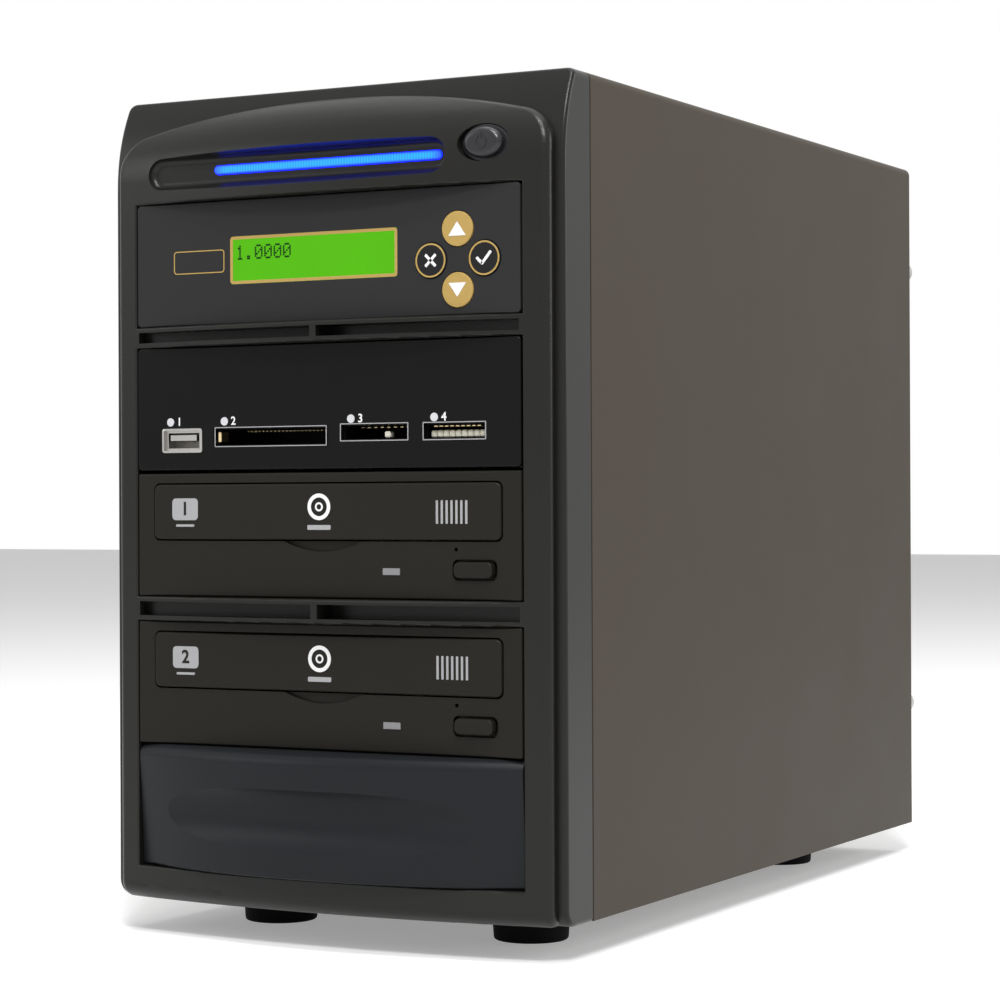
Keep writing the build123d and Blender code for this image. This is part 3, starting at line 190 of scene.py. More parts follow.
def face_front(piece, place):
    """Turn a flat piece drawn in XY to face the front, put it in place and apply both."""
    only(piece)
    piece.rotation_euler = (math.radians(90), 0, 0)
    piece.location = place
    bpy.ops.object.transform_apply(location=True, rotation=True, scale=True)
    return piece


def finish_piece(piece, body, material):
    """Give a finished piece its finish and the body that it rides on."""
    only(piece)
    bpy.ops.object.transform_apply(location=True, rotation=True, scale=True)
    piece.data.materials.clear()
    piece.data.materials.append(material)
    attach(piece, body)
    return piece


def join_all(name, pieces):
    """Join like pieces into one."""
    bpy.ops.object.select_all(action="DESELECT")
    for piece in pieces:
        piece.select_set(True)
    bpy.context.view_layer.objects.active = pieces[0]
    if len(pieces) > 1:
        bpy.ops.object.join()
    return name_new(name)


def copy_to(piece, offset):
    """A copy of a piece with its own mesh, moved by an offset."""
    twin = piece.copy()
    twin.data = piece.data.copy()
    twin.data.transform(Matrix.Translation(offset))
    bpy.context.scene.collection.objects.link(twin)
    return twin


def dress(node, material, bevel=0.0):
    """Stand a smooth, soft-edged copy of a CAD node in its place."""
    source = frame["nodes"][node]
    piece = source.copy()
    piece.data = source.data.copy()
    piece.parent = None
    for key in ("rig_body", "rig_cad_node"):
        if key in piece:
            del piece[key]
    piece.name = f"{node}_finish"
    bpy.context.scene.collection.objects.link(piece)
    only(piece)
    bpy.ops.object.mode_set(mode="EDIT")
    bpy.ops.mesh.select_all(action="SELECT")
    bpy.ops.mesh.remove_doubles(threshold=MERGE_DISTANCE)
    bpy.ops.object.mode_set(mode="OBJECT")
    if bevel:
        edge = piece.modifiers.new("Soft edges", "BEVEL")
        edge.width = bevel
        edge.segments = 2
        edge.limit_method = "ANGLE"
        edge.angle_limit = BEVEL_ANGLE
        edge.use_clamp_overlap = True
        edge.miter_outer = "MITER_ARC"
        bpy.ops.object.modifier_apply(modifier=edge.name)
    bpy.ops.object.shade_smooth_by_angle(angle=SMOOTH_ANGLE)
    even = piece.modifiers.new("Even shading", "WEIGHTED_NORMAL")
    even.keep_sharp = True
    bpy.ops.object.modifier_apply(modifier=even.name)
    piece.data.materials.clear()
    piece.data.materials.append(material)
    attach(piece, source["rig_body"])
    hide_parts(node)


def paint(material, *nodes):
    """Give CAD nodes that stay a finish."""
    for node in nodes:
        mesh = frame["nodes"][node].data
        mesh.materials.clear()
        mesh.materials.append(material)


# ---------------------------------------------------------------- finishes
def new_group(name, inputs, outputs):
    """An empty node group with named sockets."""
    group = bpy.data.node_groups.new(name, "ShaderNodeTree")
    for label, kind, value in inputs:
        socket = group.interface.new_socket(label, in_out="INPUT", socket_type=kind)
        socket.default_value = value
    for label, kind in outputs:
        group.interface.new_socket(label, in_out="OUTPUT", socket_type=kind)
    return group, group.nodes.new("NodeGroupInput"), group.nodes.new("NodeGroupOutput")


def grain_group():
    """Moulded or sprayed grain: a fine height, and a roughness and colour that drift slightly."""
    if "Fine grain" in bpy.data.node_groups:
        return bpy.data.node_groups["Fine grain"]
    group, enter, leave = new_group(
        "Fine grain",
        [
            ("Color", "NodeSocketColor", (0.1, 0.1, 0.1, 1)),
            ("Grain Scale", "NodeSocketFloat", 4000.0),
            ("Roughness", "NodeSocketFloat", 0.5),
            ("Drift", "NodeSocketFloat", 0.1),
        ],
        [
            ("Color", "NodeSocketColor"),
            ("Roughness", "NodeSocketFloat"),
            ("Height", "NodeSocketFloat"),
        ],
    )
    nodes, links = group.nodes, group.links
    place = nodes.new("ShaderNodeTexCoord")
    grain = nodes.new("ShaderNodeTexNoise")
    grain.inputs["Detail"].default_value = 3.0
    patches = nodes.new("ShaderNodeTexNoise")
    patches.inputs["Scale"].default_value = 24.0
    patches.inputs["Detail"].default_value = 5.0
    links.new(place.outputs["Object"], grain.inputs["Vector"])
    links.new(enter.outputs["Grain Scale"], grain.inputs["Scale"])
    links.new(place.outputs["Object"], patches.inputs["Vector"])
    centred = nodes.new("ShaderNodeMath")
    centred.operation = "SUBTRACT"
    centred.inputs[1].default_value = 0.5
    links.new(patches.outputs["Fac"], centred.inputs[0])
    shift = nodes.new("ShaderNodeMath")
    shift.operation = "MULTIPLY_ADD"
    links.new(centred.outputs[0], shift.inputs[0])
    links.new(enter.outputs["Drift"], shift.inputs[1])
    links.new(enter.outputs["Roughness"], shift.inputs[2])
    links.new(shift.outputs[0], leave.inputs["Roughness"])
    level = nodes.new("ShaderNodeMath")
    level.operation = "MULTIPLY_ADD"
    level.inputs[2].default_value = 1.0
    links.new(centred.outputs[0], level.inputs[0])
    links.new(enter.outputs["Drift"], level.inputs[1])
    speck = nodes.new("ShaderNodeMath")
    speck.operation = "MULTIPLY_ADD"
    speck.inputs[1].default_value = 0.12
    links.new(grain.outputs["Fac"], speck.inputs[0])
    links.new(level.outputs[0], speck.inputs[2])
    tint = nodes.new("ShaderNodeVectorMath")
    tint.operation = "SCALE"
    links.new(enter.outputs["Color"], tint.inputs[0])
    links.new(speck.outputs[0], tint.inputs["Scale"])
    links.new(tint.outputs[0], leave.inputs["Color"])
    links.new(grain.outputs["Fac"], leave.inputs["Height"])
    return group


def plastic(name, colour, roughness, grain=3200.0, depth=0.02, drift=0.1, specular=0.12):
    """Moulded plastic, paint or rubber with a fine grain."""
    material = bpy.data.materials.new(name)
    material.use_nodes = True
    nodes, links = material.node_tree.nodes, material.node_tree.links
    shader = nodes["Principled BSDF"]
    shader.inputs["Specular IOR Level"].default_value = specular
    grains = nodes.new("ShaderNodeGroup")
    grains.node_tree = grain_group()
    grains.inputs["Color"].default_value = (*colour, 1)
    grains.inputs["Grain Scale"].default_value = grain
    grains.inputs["Roughness"].default_value = roughness
    grains.inputs["Drift"].default_value = drift
    bump = nodes.new("ShaderNodeBump")
    bump.inputs["Strength"].default_value = 0.35
    bump.inputs["Distance"].default_value = depth * MM
    links.new(grains.outputs["Color"], shader.inputs["Base Color"])
    links.new(grains.outputs["Roughness"], shader.inputs["Roughness"])
    links.new(grains.outputs["Height"], bump.inputs["Height"])
    links.new(bump.outputs["Normal"], shader.inputs["Normal"])
    return material


def metal(name, colour, roughness):
    """Plated or sheet steel with a coarse, shallow grain."""
    material = plastic(name, colour, roughness, grain=900.0, depth=0.01, drift=0.18)
    material.node_tree.nodes["Principled BSDF"].inputs["Metallic"].default_value = 1.0
    return material


def lit_display(name, colour):
    """Lit liquid-crystal glass: even colour that falls off slightly from place to place."""
    material = plastic(name, colour, 0.25, grain=1500.0, depth=0.0, drift=0.25)
    nodes, links = material.node_tree.nodes, material.node_tree.links
    shader = nodes["Principled BSDF"]
    grains = next(node for node in nodes if node.type == "GROUP")
    links.remove(shader.inputs["Base Color"].links[0])
    shader.inputs["Base Color"].default_value = (0.01, 0.03, 0.002, 1)
    links.new(grains.outputs["Color"], shader.inputs["Emission Color"])
    shader.inputs["Emission Strength"].default_value = 0.92
    return material


def lit_bar(name, core, edge, low, high):
    """Lit ribbed lens: bright in the middle, deep blue at its rims and ends."""
    material = bpy.data.materials.new(name)
    material.use_nodes = True
    nodes, links = material.node_tree.nodes, material.node_tree.links
    shader = nodes["Principled BSDF"]
    shader.inputs["Base Color"].default_value = (0.0, 0.02, 0.12, 1)
    shader.inputs["Roughness"].default_value = 0.3
    shader.inputs["Emission Strength"].default_value = 4.0
    place = nodes.new("ShaderNodeTexCoord")
    axes = nodes.new("ShaderNodeSeparateXYZ")
    links.new(place.outputs["Object"], axes.inputs[0])
    middle = (low + high) / 2

    def falloff(axis, centre, inner, outer):
        """1 near the centre along an axis, fading to 0."""
        away = nodes.new("ShaderNodeMath")
        away.operation = "SUBTRACT"
        away.inputs[1].default_value = centre
        links.new(axes.outputs[axis], away.inputs[0])
        distance = nodes.new("ShaderNodeMath")
        distance.operation = "ABSOLUTE"
        links.new(away.outputs[0], distance.inputs[0])
        fade = nodes.new("ShaderNodeMapRange")
        fade.interpolation_type = "SMOOTHSTEP"
        fade.inputs["From Min"].default_value = inner
        fade.inputs["From Max"].default_value = outer
        fade.inputs["To Min"].default_value = 1.0
        fade.inputs["To Max"].default_value = 0.0
        links.new(distance.outputs[0], fade.inputs["Value"])
        return fade.outputs[0]

    rim = falloff("Z", middle.z, 0.5 * MM, 1.7 * MM)
    ends = falloff("X", middle.x, 39 * MM, 45.5 * MM)
    ribs = nodes.new("ShaderNodeTexWave")
    ribs.bands_direction = "X"
    ribs.inputs["Scale"].default_value = 300.0
    ribs.inputs["Distortion"].default_value = 0.0
    links.new(place.outputs["Object"], ribs.inputs["Vector"])
    rib_level = nodes.new("ShaderNodeMapRange")
    rib_level.inputs["To Min"].default_value = 0.55
    links.new(ribs.outputs["Fac"], rib_level.inputs["Value"])
    both = nodes.new("ShaderNodeMath")
    both.operation = "MULTIPLY"
    links.new(rim, both.inputs[0])
    links.new(ends, both.inputs[1])
    bright = nodes.new("ShaderNodeMath")
    bright.operation = "MULTIPLY"
    links.new(both.outputs[0], bright.inputs[0])
    links.new(rib_level.outputs[0], bright.inputs[1])
    blend = nodes.new("ShaderNodeMix")
    blend.data_type = "RGBA"
    blend.inputs["A"].default_value = (*edge, 1)
    blend.inputs["B"].default_value = (*core, 1)
    links.new(bright.outputs[0], blend.inputs["Factor"])
    links.new(blend.outputs["Result"], shader.inputs["Emission Color"])
    return material


def printed(name, colour):
    """Printed ink, with the plate's grain showing through."""
    return plastic(name, colour, 0.45, grain=2600.0, depth=0.008, drift=0.08)


FINISHES = {}


def finish(name):
    """A finish of the tower, made on first use."""
    if name in FINISHES:
        return FINISHES[name]
    colours = bpy.context.scene.tower_colours
    makers = {
        "case": lambda: plastic("case_paint", colours.case, 0.45, grain=2200.0, depth=0.03),
        "bezel": lambda: plastic("bezel_plastic", colours.bezel, 0.3, depth=0.06, specular=0.22),
        "panel": lambda: plastic("panel_plastic", colours.panel, 0.45, depth=0.03),
        "reader": lambda: plastic("reader_gloss", colours.reader, 0.2, depth=0.004, drift=0.05),
        "drive": lambda: plastic("drive_plastic", colours.drive, 0.42, grain=2600.0, depth=0.05),
        "cover": lambda: plastic("cover_plastic", colours.cover, 0.38, grain=2600.0, depth=0.05),
        "button": lambda: plastic("button_plastic", (0.012, 0.012, 0.015), 0.28, specular=0.4),
        "rubber": lambda: plastic("foot_rubber", (0.006, 0.006, 0.006), 0.8, depth=0.05),
        "dark": lambda: plastic("socket_plastic", (0.005, 0.005, 0.005), 0.5),
        "tray": lambda: plastic("tray_plastic", (0.02, 0.02, 0.02), 0.45, depth=0.03),
        "fan": lambda: plastic("fan_plastic", (0.01, 0.01, 0.01), 0.45, specular=0.3),
        "board": lambda: plastic("board_resist", (0.008, 0.07, 0.03), 0.4, drift=0.4),
        "lamp": lambda: plastic("lamp_clear", (0.55, 0.55, 0.57), 0.25, specular=0.5),
        "drive_lamp": lambda: plastic("drive_lamp", (0.20, 0.20, 0.21), 0.3, specular=0.5),
        "key_black": lambda: plastic("key_black", (0.012, 0.012, 0.013), 0.4),
        "ivory": lambda: plastic("socket_ivory", (0.68, 0.66, 0.55), 0.5, drift=0.05),
        "steel": lambda: metal("zinc_steel", (0.42, 0.42, 0.40), 0.4),
        "shell": lambda: metal("plated_shell", (0.42, 0.41, 0.39), 0.3),
        "contact": lambda: metal("gold_contact", (0.75, 0.60, 0.34), 0.3),
        "gold": lambda: printed("gold_print", colours.gold),
        "white": lambda: printed("white_print", (0.74, 0.74, 0.74)),
        "grey": lambda: printed("grey_print", (0.33, 0.33, 0.34)),
        "ink": lambda: printed("display_ink", (0.004, 0.03, 0.002)),
        "display": lambda: lit_display("display_glass", colours.display),
        "bar": lambda: lit_bar(
            "light_bar_lens", colours.light_core, colours.light_edge, *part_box("light_bar")),
    }
    FINISHES[name] = makers[name]()
    return FINISHES[name]


# ---------------------------------------------------------------- printed marks
def ring_mark(name, centre, radius, line, y):
    """Flat ring printed on a face."""
    bpy.ops.object.select_all(action="DESELECT")
    bpy.ops.mesh.primitive_circle_add(vertices=64, radius=radius, fill_type="NGON")
    ring = name_new(name)
    bpy.ops.object.mode_set(mode="EDIT")
    bpy.ops.mesh.select_all(action="SELECT")
    bpy.ops.mesh.inset(thickness=line)
    bpy.ops.mesh.delete(type="FACE")
    bpy.ops.mesh.select_all(action="SELECT")
    bpy.ops.mesh.extrude_region_move(TRANSFORM_OT_translate={"value": (0, 0, PRINT)})
    bpy.ops.object.mode_set(mode="OBJECT")
    return face_front(ring, (centre[0], y, centre[1]))


def tile_mark(name, centre, size, corner, y, line=0.0, turn=0.0):
    """Rounded rectangle printed on a face, solid or as an outline of the given line."""
    bpy.ops.object.select_all(action="DESELECT")
    bpy.ops.mesh.primitive_plane_add(size=1)
    tile = name_new(name)
    tile.scale = (size[0], size[1], 1)
    bpy.ops.object.transform_apply(scale=True)
    bpy.ops.object.mode_set(mode="EDIT")
    bpy.ops.mesh.select_all(action="SELECT")
    if corner:
        bpy.ops.mesh.bevel(offset=corner, segments=5, affect="VERTICES")
        bpy.ops.mesh.select_all(action="SELECT")
    if line:
        bpy.ops.mesh.inset(thickness=line)
        bpy.ops.mesh.delete(type="FACE")
        bpy.ops.mesh.select_all(action="SELECT")
    bpy.ops.mesh.extrude_region_move(TRANSFORM_OT_translate={"value": (0, 0, PRINT)})
    bpy.ops.object.mode_set(mode="OBJECT")
    tile.rotation_euler = (0, 0, math.radians(turn))
    bpy.ops.object.transform_apply(rotation=True)
    return face_front(tile, (centre[0], y, centre[1]))


def triangle_mark(name, centre, width, height, up, y):
    """Solid triangle printed on a key."""
    bpy.ops.object.select_all(action="DESELECT")
    bpy.ops.mesh.primitive_circle_add(vertices=3, radius=1, fill_type="NGON")
    mark = name_new(name)
    mark.rotation_euler = (0, 0, 0 if up else math.radians(180))
    bpy.ops.object.transform_apply(rotation=True)
    mark.scale = (width / math.sqrt(3), height / 1.5, 1)
    bpy.ops.object.transform_apply(scale=True)
    bpy.ops.object.mode_set(mode="EDIT")
    bpy.ops.mesh.bevel(offset=0.25 * MM, segments=3, affect="VERTICES")
    bpy.ops.mesh.select_all(action="SELECT")
    bpy.ops.mesh.extrude_region_move(TRANSFORM_OT_translate={"value": (0, 0, PRINT)})
    bpy.ops.object.mode_set(mode="OBJECT")
    drop = height / 6 if up else -height / 6
    return face_front(mark, (centre[0], y, centre[1] - drop))


def text_mark(name, number, centre, height, y, weight=0.03, align="CENTER"):
    """Number printed on a face."""
    bpy.ops.object.select_all(action="DESELECT")
    bpy.ops.object.text_add()
    text = bpy.context.active_object
    text.name = name
    text.data.body = number
    text.data.size = height * 1.35
    text.data.offset = weight * height
    text.data.extrude = PRINT / 2
    text.data.resolution_u = 4
    text.data.align_x = align
    text.data.align_y = "CENTER"
    bpy.ops.object.convert(target="MESH")
    return face_front(name_new(name), (centre[0], y - PRINT / 2, centre[1]))


# ---------------------------------------------------------------- pieces
class DressCase(bpy.types.Operator):
    """Paint the metal case and its feet"""

    bl_idname = "tower.dress_case"
    bl_label = "Case and feet"

    def execute(self, context):
        dress("wrap_cover", finish("case"), 0.25 * MM)
        dress("rear_panel", finish("case"), 0.1 * MM)
        dress("base_pan", finish("case"), 0.15 * MM)
        paint(finish("dark"), "front_frame")
        paint(finish("steel"), "drive_cage", "foot_screws")
        feet = [f"foot_{end}_{side}" for end in ("front", "rear") for side in ("left", "right")]
        paint(finish("rubber"), *feet)
        dress("thumb_screws", finish("steel"), 0.2 * MM)
        return {"FINISHED"}


class DressBezel(bpy.types.Operator):
    """Finish the bezel, its light bar and its power button"""

    bl_idname = "tower.dress_bezel"
    bl_label = "Bezel"

    def execute(self, context):
        paint(finish("bezel"), "front_bezel")
        paint(finish("bar"), "light_bar")
        paint(finish("button"), "power_button")
        paint(finish("dark"), "power_switch")
        return {"FINISHED"}


DISPLAY_GLYPHS = {
    "0": (".###.", "#...#", "#..##", "#.#.#", "##..#", "#...#", ".###."),
    "1": ("..#..", ".##..", "..#..", "..#..", "..#..", "..#..", ".###."),
    ".": (".....", ".....", ".....", ".....", ".....", ".##..", ".##.."),
}
DISPLAY_NUMBER = "1.0000"
GLYPH_STEP = 6
DISPLAY_INDENT = 1.3 * MM
DISPLAY_DROP = 2.0 * MM
BADGE_X = -48.6 * MM
BADGE_SIZE = (20.5 * MM, 7.8 * MM)
MARK_CORNER = 1.2 * MM
KEY_RING = 5.55 * MM
KEY_TRIANGLE = (6.4 * MM, 4.6 * MM)
# centre across and up, length and turn of each bar, in millimetres and degrees
KEY_STROKES = {
    "key_esc": ((0, 0, 5.4, 45), (0, 0, 5.4, -45)),
    "key_ok": ((-1.75, -0.75, 2.9, -45), (0.75, 0.05, 5.4, 50)),
}


class DressControlUnit(bpy.types.Operator):
    """Finish the control plate, its display and its keys"""

    bl_idname = "tower.dress_control_unit"
    bl_label = "Control unit"

    def execute(self, context):
        marks = context.scene.tower_marks
        paint(finish("panel"), "control_plate")
        paint(finish("display"), "display_window")
        paint(finish("board"), "display_module", "controller_board")
        paint(finish("steel"), "control_bracket")
        self.frame_window(marks)
        self.write_display(marks)
        self.mark_keys(marks)
        return {"FINISHED"}

    def frame_window(self, marks):
        """Gold lines round the display and a blank badge."""
        low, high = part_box("display_window")
        size = (high.x - low.x, high.z - low.z)
        middle = ((low.x + high.x) / 2, (low.z + high.z) / 2)
        line = tile_mark("window_frame", middle, size, MARK_CORNER, low.y, marks.window_line)
        finish_piece(line, "tower", finish("gold"))
        badge = tile_mark(
            "blank_badge", (BADGE_X, middle[1]), BADGE_SIZE, MARK_CORNER, FACE_Y, 0.35 * MM)
        finish_piece(badge, "tower", finish("gold"))

    def write_display(self, marks):
        """Dark dots of the first line of the display."""
        low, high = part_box("display_window")
        left = low.x + marks.window_line + DISPLAY_INDENT
        top = high.z - marks.window_line - DISPLAY_DROP
        bpy.ops.object.select_all(action="DESELECT")
        first = tile_mark("display_dot", (0, 0), (marks.dot_width, marks.dot_height), 0, low.y)
        dots = []
        for place, digit in enumerate(DISPLAY_NUMBER):
            for row, pattern in enumerate(DISPLAY_GLYPHS[digit]):
                for column, dot in enumerate(pattern):
                    if dot != "#":
                        continue
                    x = left + (place * GLYPH_STEP + column + 0.5) * marks.dot_step
                    z = top - (row + 0.5) * marks.dot_rise
                    dots.append(copy_to(first, (x, 0, z)))
        bpy.data.objects.remove(first)
        words = join_all("display_words", dots)
        finish_piece(words, "tower", finish("ink"))

    def mark_keys(self, marks):
        """Triangles on the gold keys, and a ringed cross and tick on the dark ones."""
        for node, up in (("key_up", True), ("key_down", False)):
            paint(finish("gold"), node)
            low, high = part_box(node)
            middle = ((low.x + high.x) / 2, (low.z + high.z) / 2)
            mark = triangle_mark(f"{node}_mark", middle, *KEY_TRIANGLE, up, low.y)
            finish_piece(mark, node, finish("white"))
        for node, bars in KEY_STROKES.items():
            paint(finish("key_black"), node)
            low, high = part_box(node)
            middle = ((low.x + high.x) / 2, (low.z + high.z) / 2)
            ring = ring_mark(f"{node}_ring", middle, KEY_RING, marks.ring_line, low.y)
            finish_piece(ring, node, finish("gold"))
            drawn = [
                tile_mark(f"{node}_stroke_{count}", (middle[0] + x * MM, middle[1] + z * MM),
                          (length * MM, marks.key_stroke), 0.3 * MM, low.y, turn=turn)
                for count, (x, z, length, turn) in enumerate(bars)
            ]
            symbol = join_all(f"{node}_symbol", drawn)
            finish_piece(symbol, node, finish("white"))


def contact_row(name, first, step, count, size):
    """Row of bevelled contact blades."""
    bpy.ops.object.select_all(action="DESELECT")
    bpy.ops.mesh.primitive_cube_add(size=1, location=first)
    blade = name_new(f"{name}_blade")
    blade.scale = size
    bpy.ops.object.transform_apply(location=True, rotation=True, scale=True)
    bpy.ops.object.mode_set(mode="EDIT")
    bpy.ops.mesh.bevel(offset=min(size) * 0.2, segments=1, affect="EDGES")
    bpy.ops.object.mode_set(mode="OBJECT")
    blades = [blade] + [copy_to(blade, Vector(step) * turn) for turn in range(1, count)]
    return join_all(name, blades)


def insert(first, size, name, look, count=1, step=0.0):
    """Row of blocks, sized in millimetres, that shows inside a card slot."""
    blocks = contact_row(name, first, (step, 0, 0), count, [side * MM for side in size])
    finish_piece(blocks, "tower", finish(look))


LAMP_PLACES = (-60.5 * MM, -38.6 * MM, 11.1 * MM, 42.5 * MM)
NUMBER_GAP = 2.6 * MM
# width of the pale outline painted as highlight on each card slot's rim
RIM_HIGHLIGHT_LINE = 0.3 * MM
# socket, pins, depth inside, step and pin size, in millimetres
PIN_ROWS = {
    "large_card_pins": ("cf_socket", 22, 12.0, 1.55, (0.5, 6.0, 0.5)),
    "medium_card_pins": ("sd_socket", 8, 9.0, 2.5, (1.2, 8.0, 0.4)),
    "small_card_pins": ("ms_socket", 9, 3.2, 2.0, (1.3, 7.0, 0.5)),
}


class DressReader(bpy.types.Operator):
    """Finish the card reader, its sockets, lamps and numbers"""

    bl_idname = "tower.dress_reader"
    bl_label = "Card reader"

    def execute(self, context):
        marks = context.scene.tower_marks
        paint(finish("reader"), "reader_plate")
        dress("usb_socket", finish("shell"), 0.1 * MM)
        paint(finish("dark"), "cf_socket", "sd_socket", "ms_socket")
        paint(finish("lamp"), "reader_lamps")
        paint(finish("board"), "reader_board")
        paint(finish("steel"), "reader_bracket")
        low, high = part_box("reader_lamps")
        row = (low.z + high.z) / 2
        for number, x in enumerate(LAMP_PLACES, start=1):
            place = (x + NUMBER_GAP, row)
            mark = text_mark(f"lamp_number_{number}", str(number), place,
                             marks.lamp_text, READER_Y, 0.02, "LEFT")
            finish_piece(mark, "tower", finish("white"))
        self.fill_sockets()
        self.edge_slots()
        return {"FINISHED"}

    def edge_slots(self):
        """Card slot rims drawn as flat pale outlines (painted highlight where the moulded rims
        catch the light), an ivory insert, a latch and a spring.
        """
        slots = {
            room["name"]: [Vector(corner) for corner in room["box_m"]]
            for room in frame["record"]["physics"]["openings"]
        }
        for name in ("large_card_slot", "medium_card_slot", "small_card_slot"):
            low, high = slots[name]
            size = (high.x - low.x + 1.3 * MM, high.z - low.z + 1.5 * MM)
            middle = ((low.x + high.x) / 2, (low.z + high.z) / 2)
            # pale grey outline in the print finish: painted highlight on the slot's moulded rim,
            # not a colour the plate has
            rim = tile_mark(f"{name}_rim", middle, size, 0.2 * MM, READER_Y, RIM_HIGHLIGHT_LINE)
            finish_piece(rim, "tower", finish("grey"))
        low, high = slots["small_card_slot"]
        insert((low.x + 2.0 * MM, low.y + 5 * MM, low.z + 1.3 * MM), (2.1, 3, 2.4),
               "small_card_comb", "ivory", count=9, step=2.25 * MM)
        low, high = slots["medium_card_slot"]
        insert((high.x - 8.2 * MM, low.y + 4 * MM, low.z + 1.3 * MM), (2.2, 3, 2.2),
               "medium_card_latch", "ivory")
        low, high = slots["large_card_slot"]
        insert((low.x + 0.9 * MM, low.y + 4 * MM, low.z + 2.6 * MM), (1.2, 5, 3.6),
               "large_card_spring", "contact")

    def fill_sockets(self):
        """Contacts that show in the card slots."""
        for name, (node, count, inside, step, size) in PIN_ROWS.items():
            low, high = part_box(node)
            middle = (low.x + high.x) / 2
            first = (
                middle - step * MM * (count - 1) / 2,
                low.y + inside * MM,
                high.z - 1.4 * MM - size[2] * MM / 2,
            )
            insert(first, size, name, "contact", count, step * MM)


TRAY_TILE_X = -54.2 * MM
TRAY_RING_X = -0.9 * MM
TRAY_LINES_X = 43.8 * MM
TRAY_LINE_STEP = 1.8 * MM
TRAY_LINE_COUNT = 7


class DressDrives(bpy.types.Operator):
    """Finish both disc drives and mark their tray fronts"""

    bl_idname = "tower.dress_drives"
    bl_label = "Disc drives"

    def execute(self, context):
        for number in (1, 2):
            faces = ("drive_bezel", "tray_front", "eject_button")
            paint(finish("drive"), *(f"{face}_{number}" for face in faces))
            paint(finish("drive_lamp"), f"drive_lamp_{number}")
            dress(f"disc_tray_{number}", finish("tray"), 0.3 * MM)
            dress(f"turntable_{number}", finish("fan"), 0.2 * MM)
            cases = ("drive_case", "pickup_chassis", "spindle_motor")
            paint(finish("steel"), *(f"{case}_{number}" for case in cases))
            paint(finish("dark"), f"pickup_sled_{number}")
            self.mark_tray(number)
        return {"FINISHED"}

    def mark_tray(self, number):
        """Plain marks on a tray front: a numbered tile, a ring over a bar, and upright bars."""
        low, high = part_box(f"tray_front_{number}")
        body = f"tray_{number}"
        y = low.y
        middle = (low.z + high.z) / 2
        tile = tile_mark(f"tray_{number}_tile", (TRAY_TILE_X, middle + 0.9 * MM),
                         (10.4 * MM, 7.4 * MM), 1.4 * MM, y)
        finish_piece(tile, body, finish("grey"))
        digit = text_mark(f"tray_{number}_digit", str(number), (TRAY_TILE_X, middle + 0.9 * MM),
                          4.6 * MM, y - PRINT)
        finish_piece(digit, body, finish("drive"))
        under = tile_mark(f"tray_{number}_rule", (TRAY_TILE_X, middle - 4.6 * MM),
                          (7.4 * MM, 0.8 * MM), 0.3 * MM, y)
        finish_piece(under, body, finish("grey"))
        outer = ring_mark(f"tray_{number}_ring", (TRAY_RING_X, middle + 1.6 * MM),
                          4.4 * MM, 1.3 * MM, y)
        finish_piece(outer, body, finish("white"))
        hub = ring_mark(f"tray_{number}_hub", (TRAY_RING_X, middle + 1.6 * MM),
                        1.5 * MM, 0.6 * MM, y)
        finish_piece(hub, body, finish("white"))
        rule = tile_mark(f"tray_{number}_bar", (TRAY_RING_X, middle - 5.2 * MM),
                         (9.0 * MM, 1.6 * MM), 0.4 * MM, y)
        finish_piece(rule, body, finish("grey"))
        first = tile_mark(f"tray_{number}_line", (TRAY_LINES_X, middle - 0.2 * MM),
                          (0.8 * MM, 7.6 * MM), 0.2 * MM, y)
        shifts = [(turn * TRAY_LINE_STEP, 0, 0) for turn in range(1, TRAY_LINE_COUNT)]
        lines = [first] + [copy_to(first, shift) for shift in shifts]
        bars = join_all(f"tray_{number}_lines", lines)
        finish_piece(bars, body, finish("grey"))


class DressBayCover(bpy.types.Operator):
    """Finish the blank cover with its shallow dish"""

    bl_idname = "tower.dress_bay_cover"
    bl_label = "Bay cover"

    def execute(self, context):
        paint(finish("cover"), "bay_cover")
        return {"FINISHED"}


SCREW_RADIUS = 3.0 * MM
SCREW_HEIGHT = 1.6 * MM
RECESS = (3.2 * MM, 0.7 * MM)


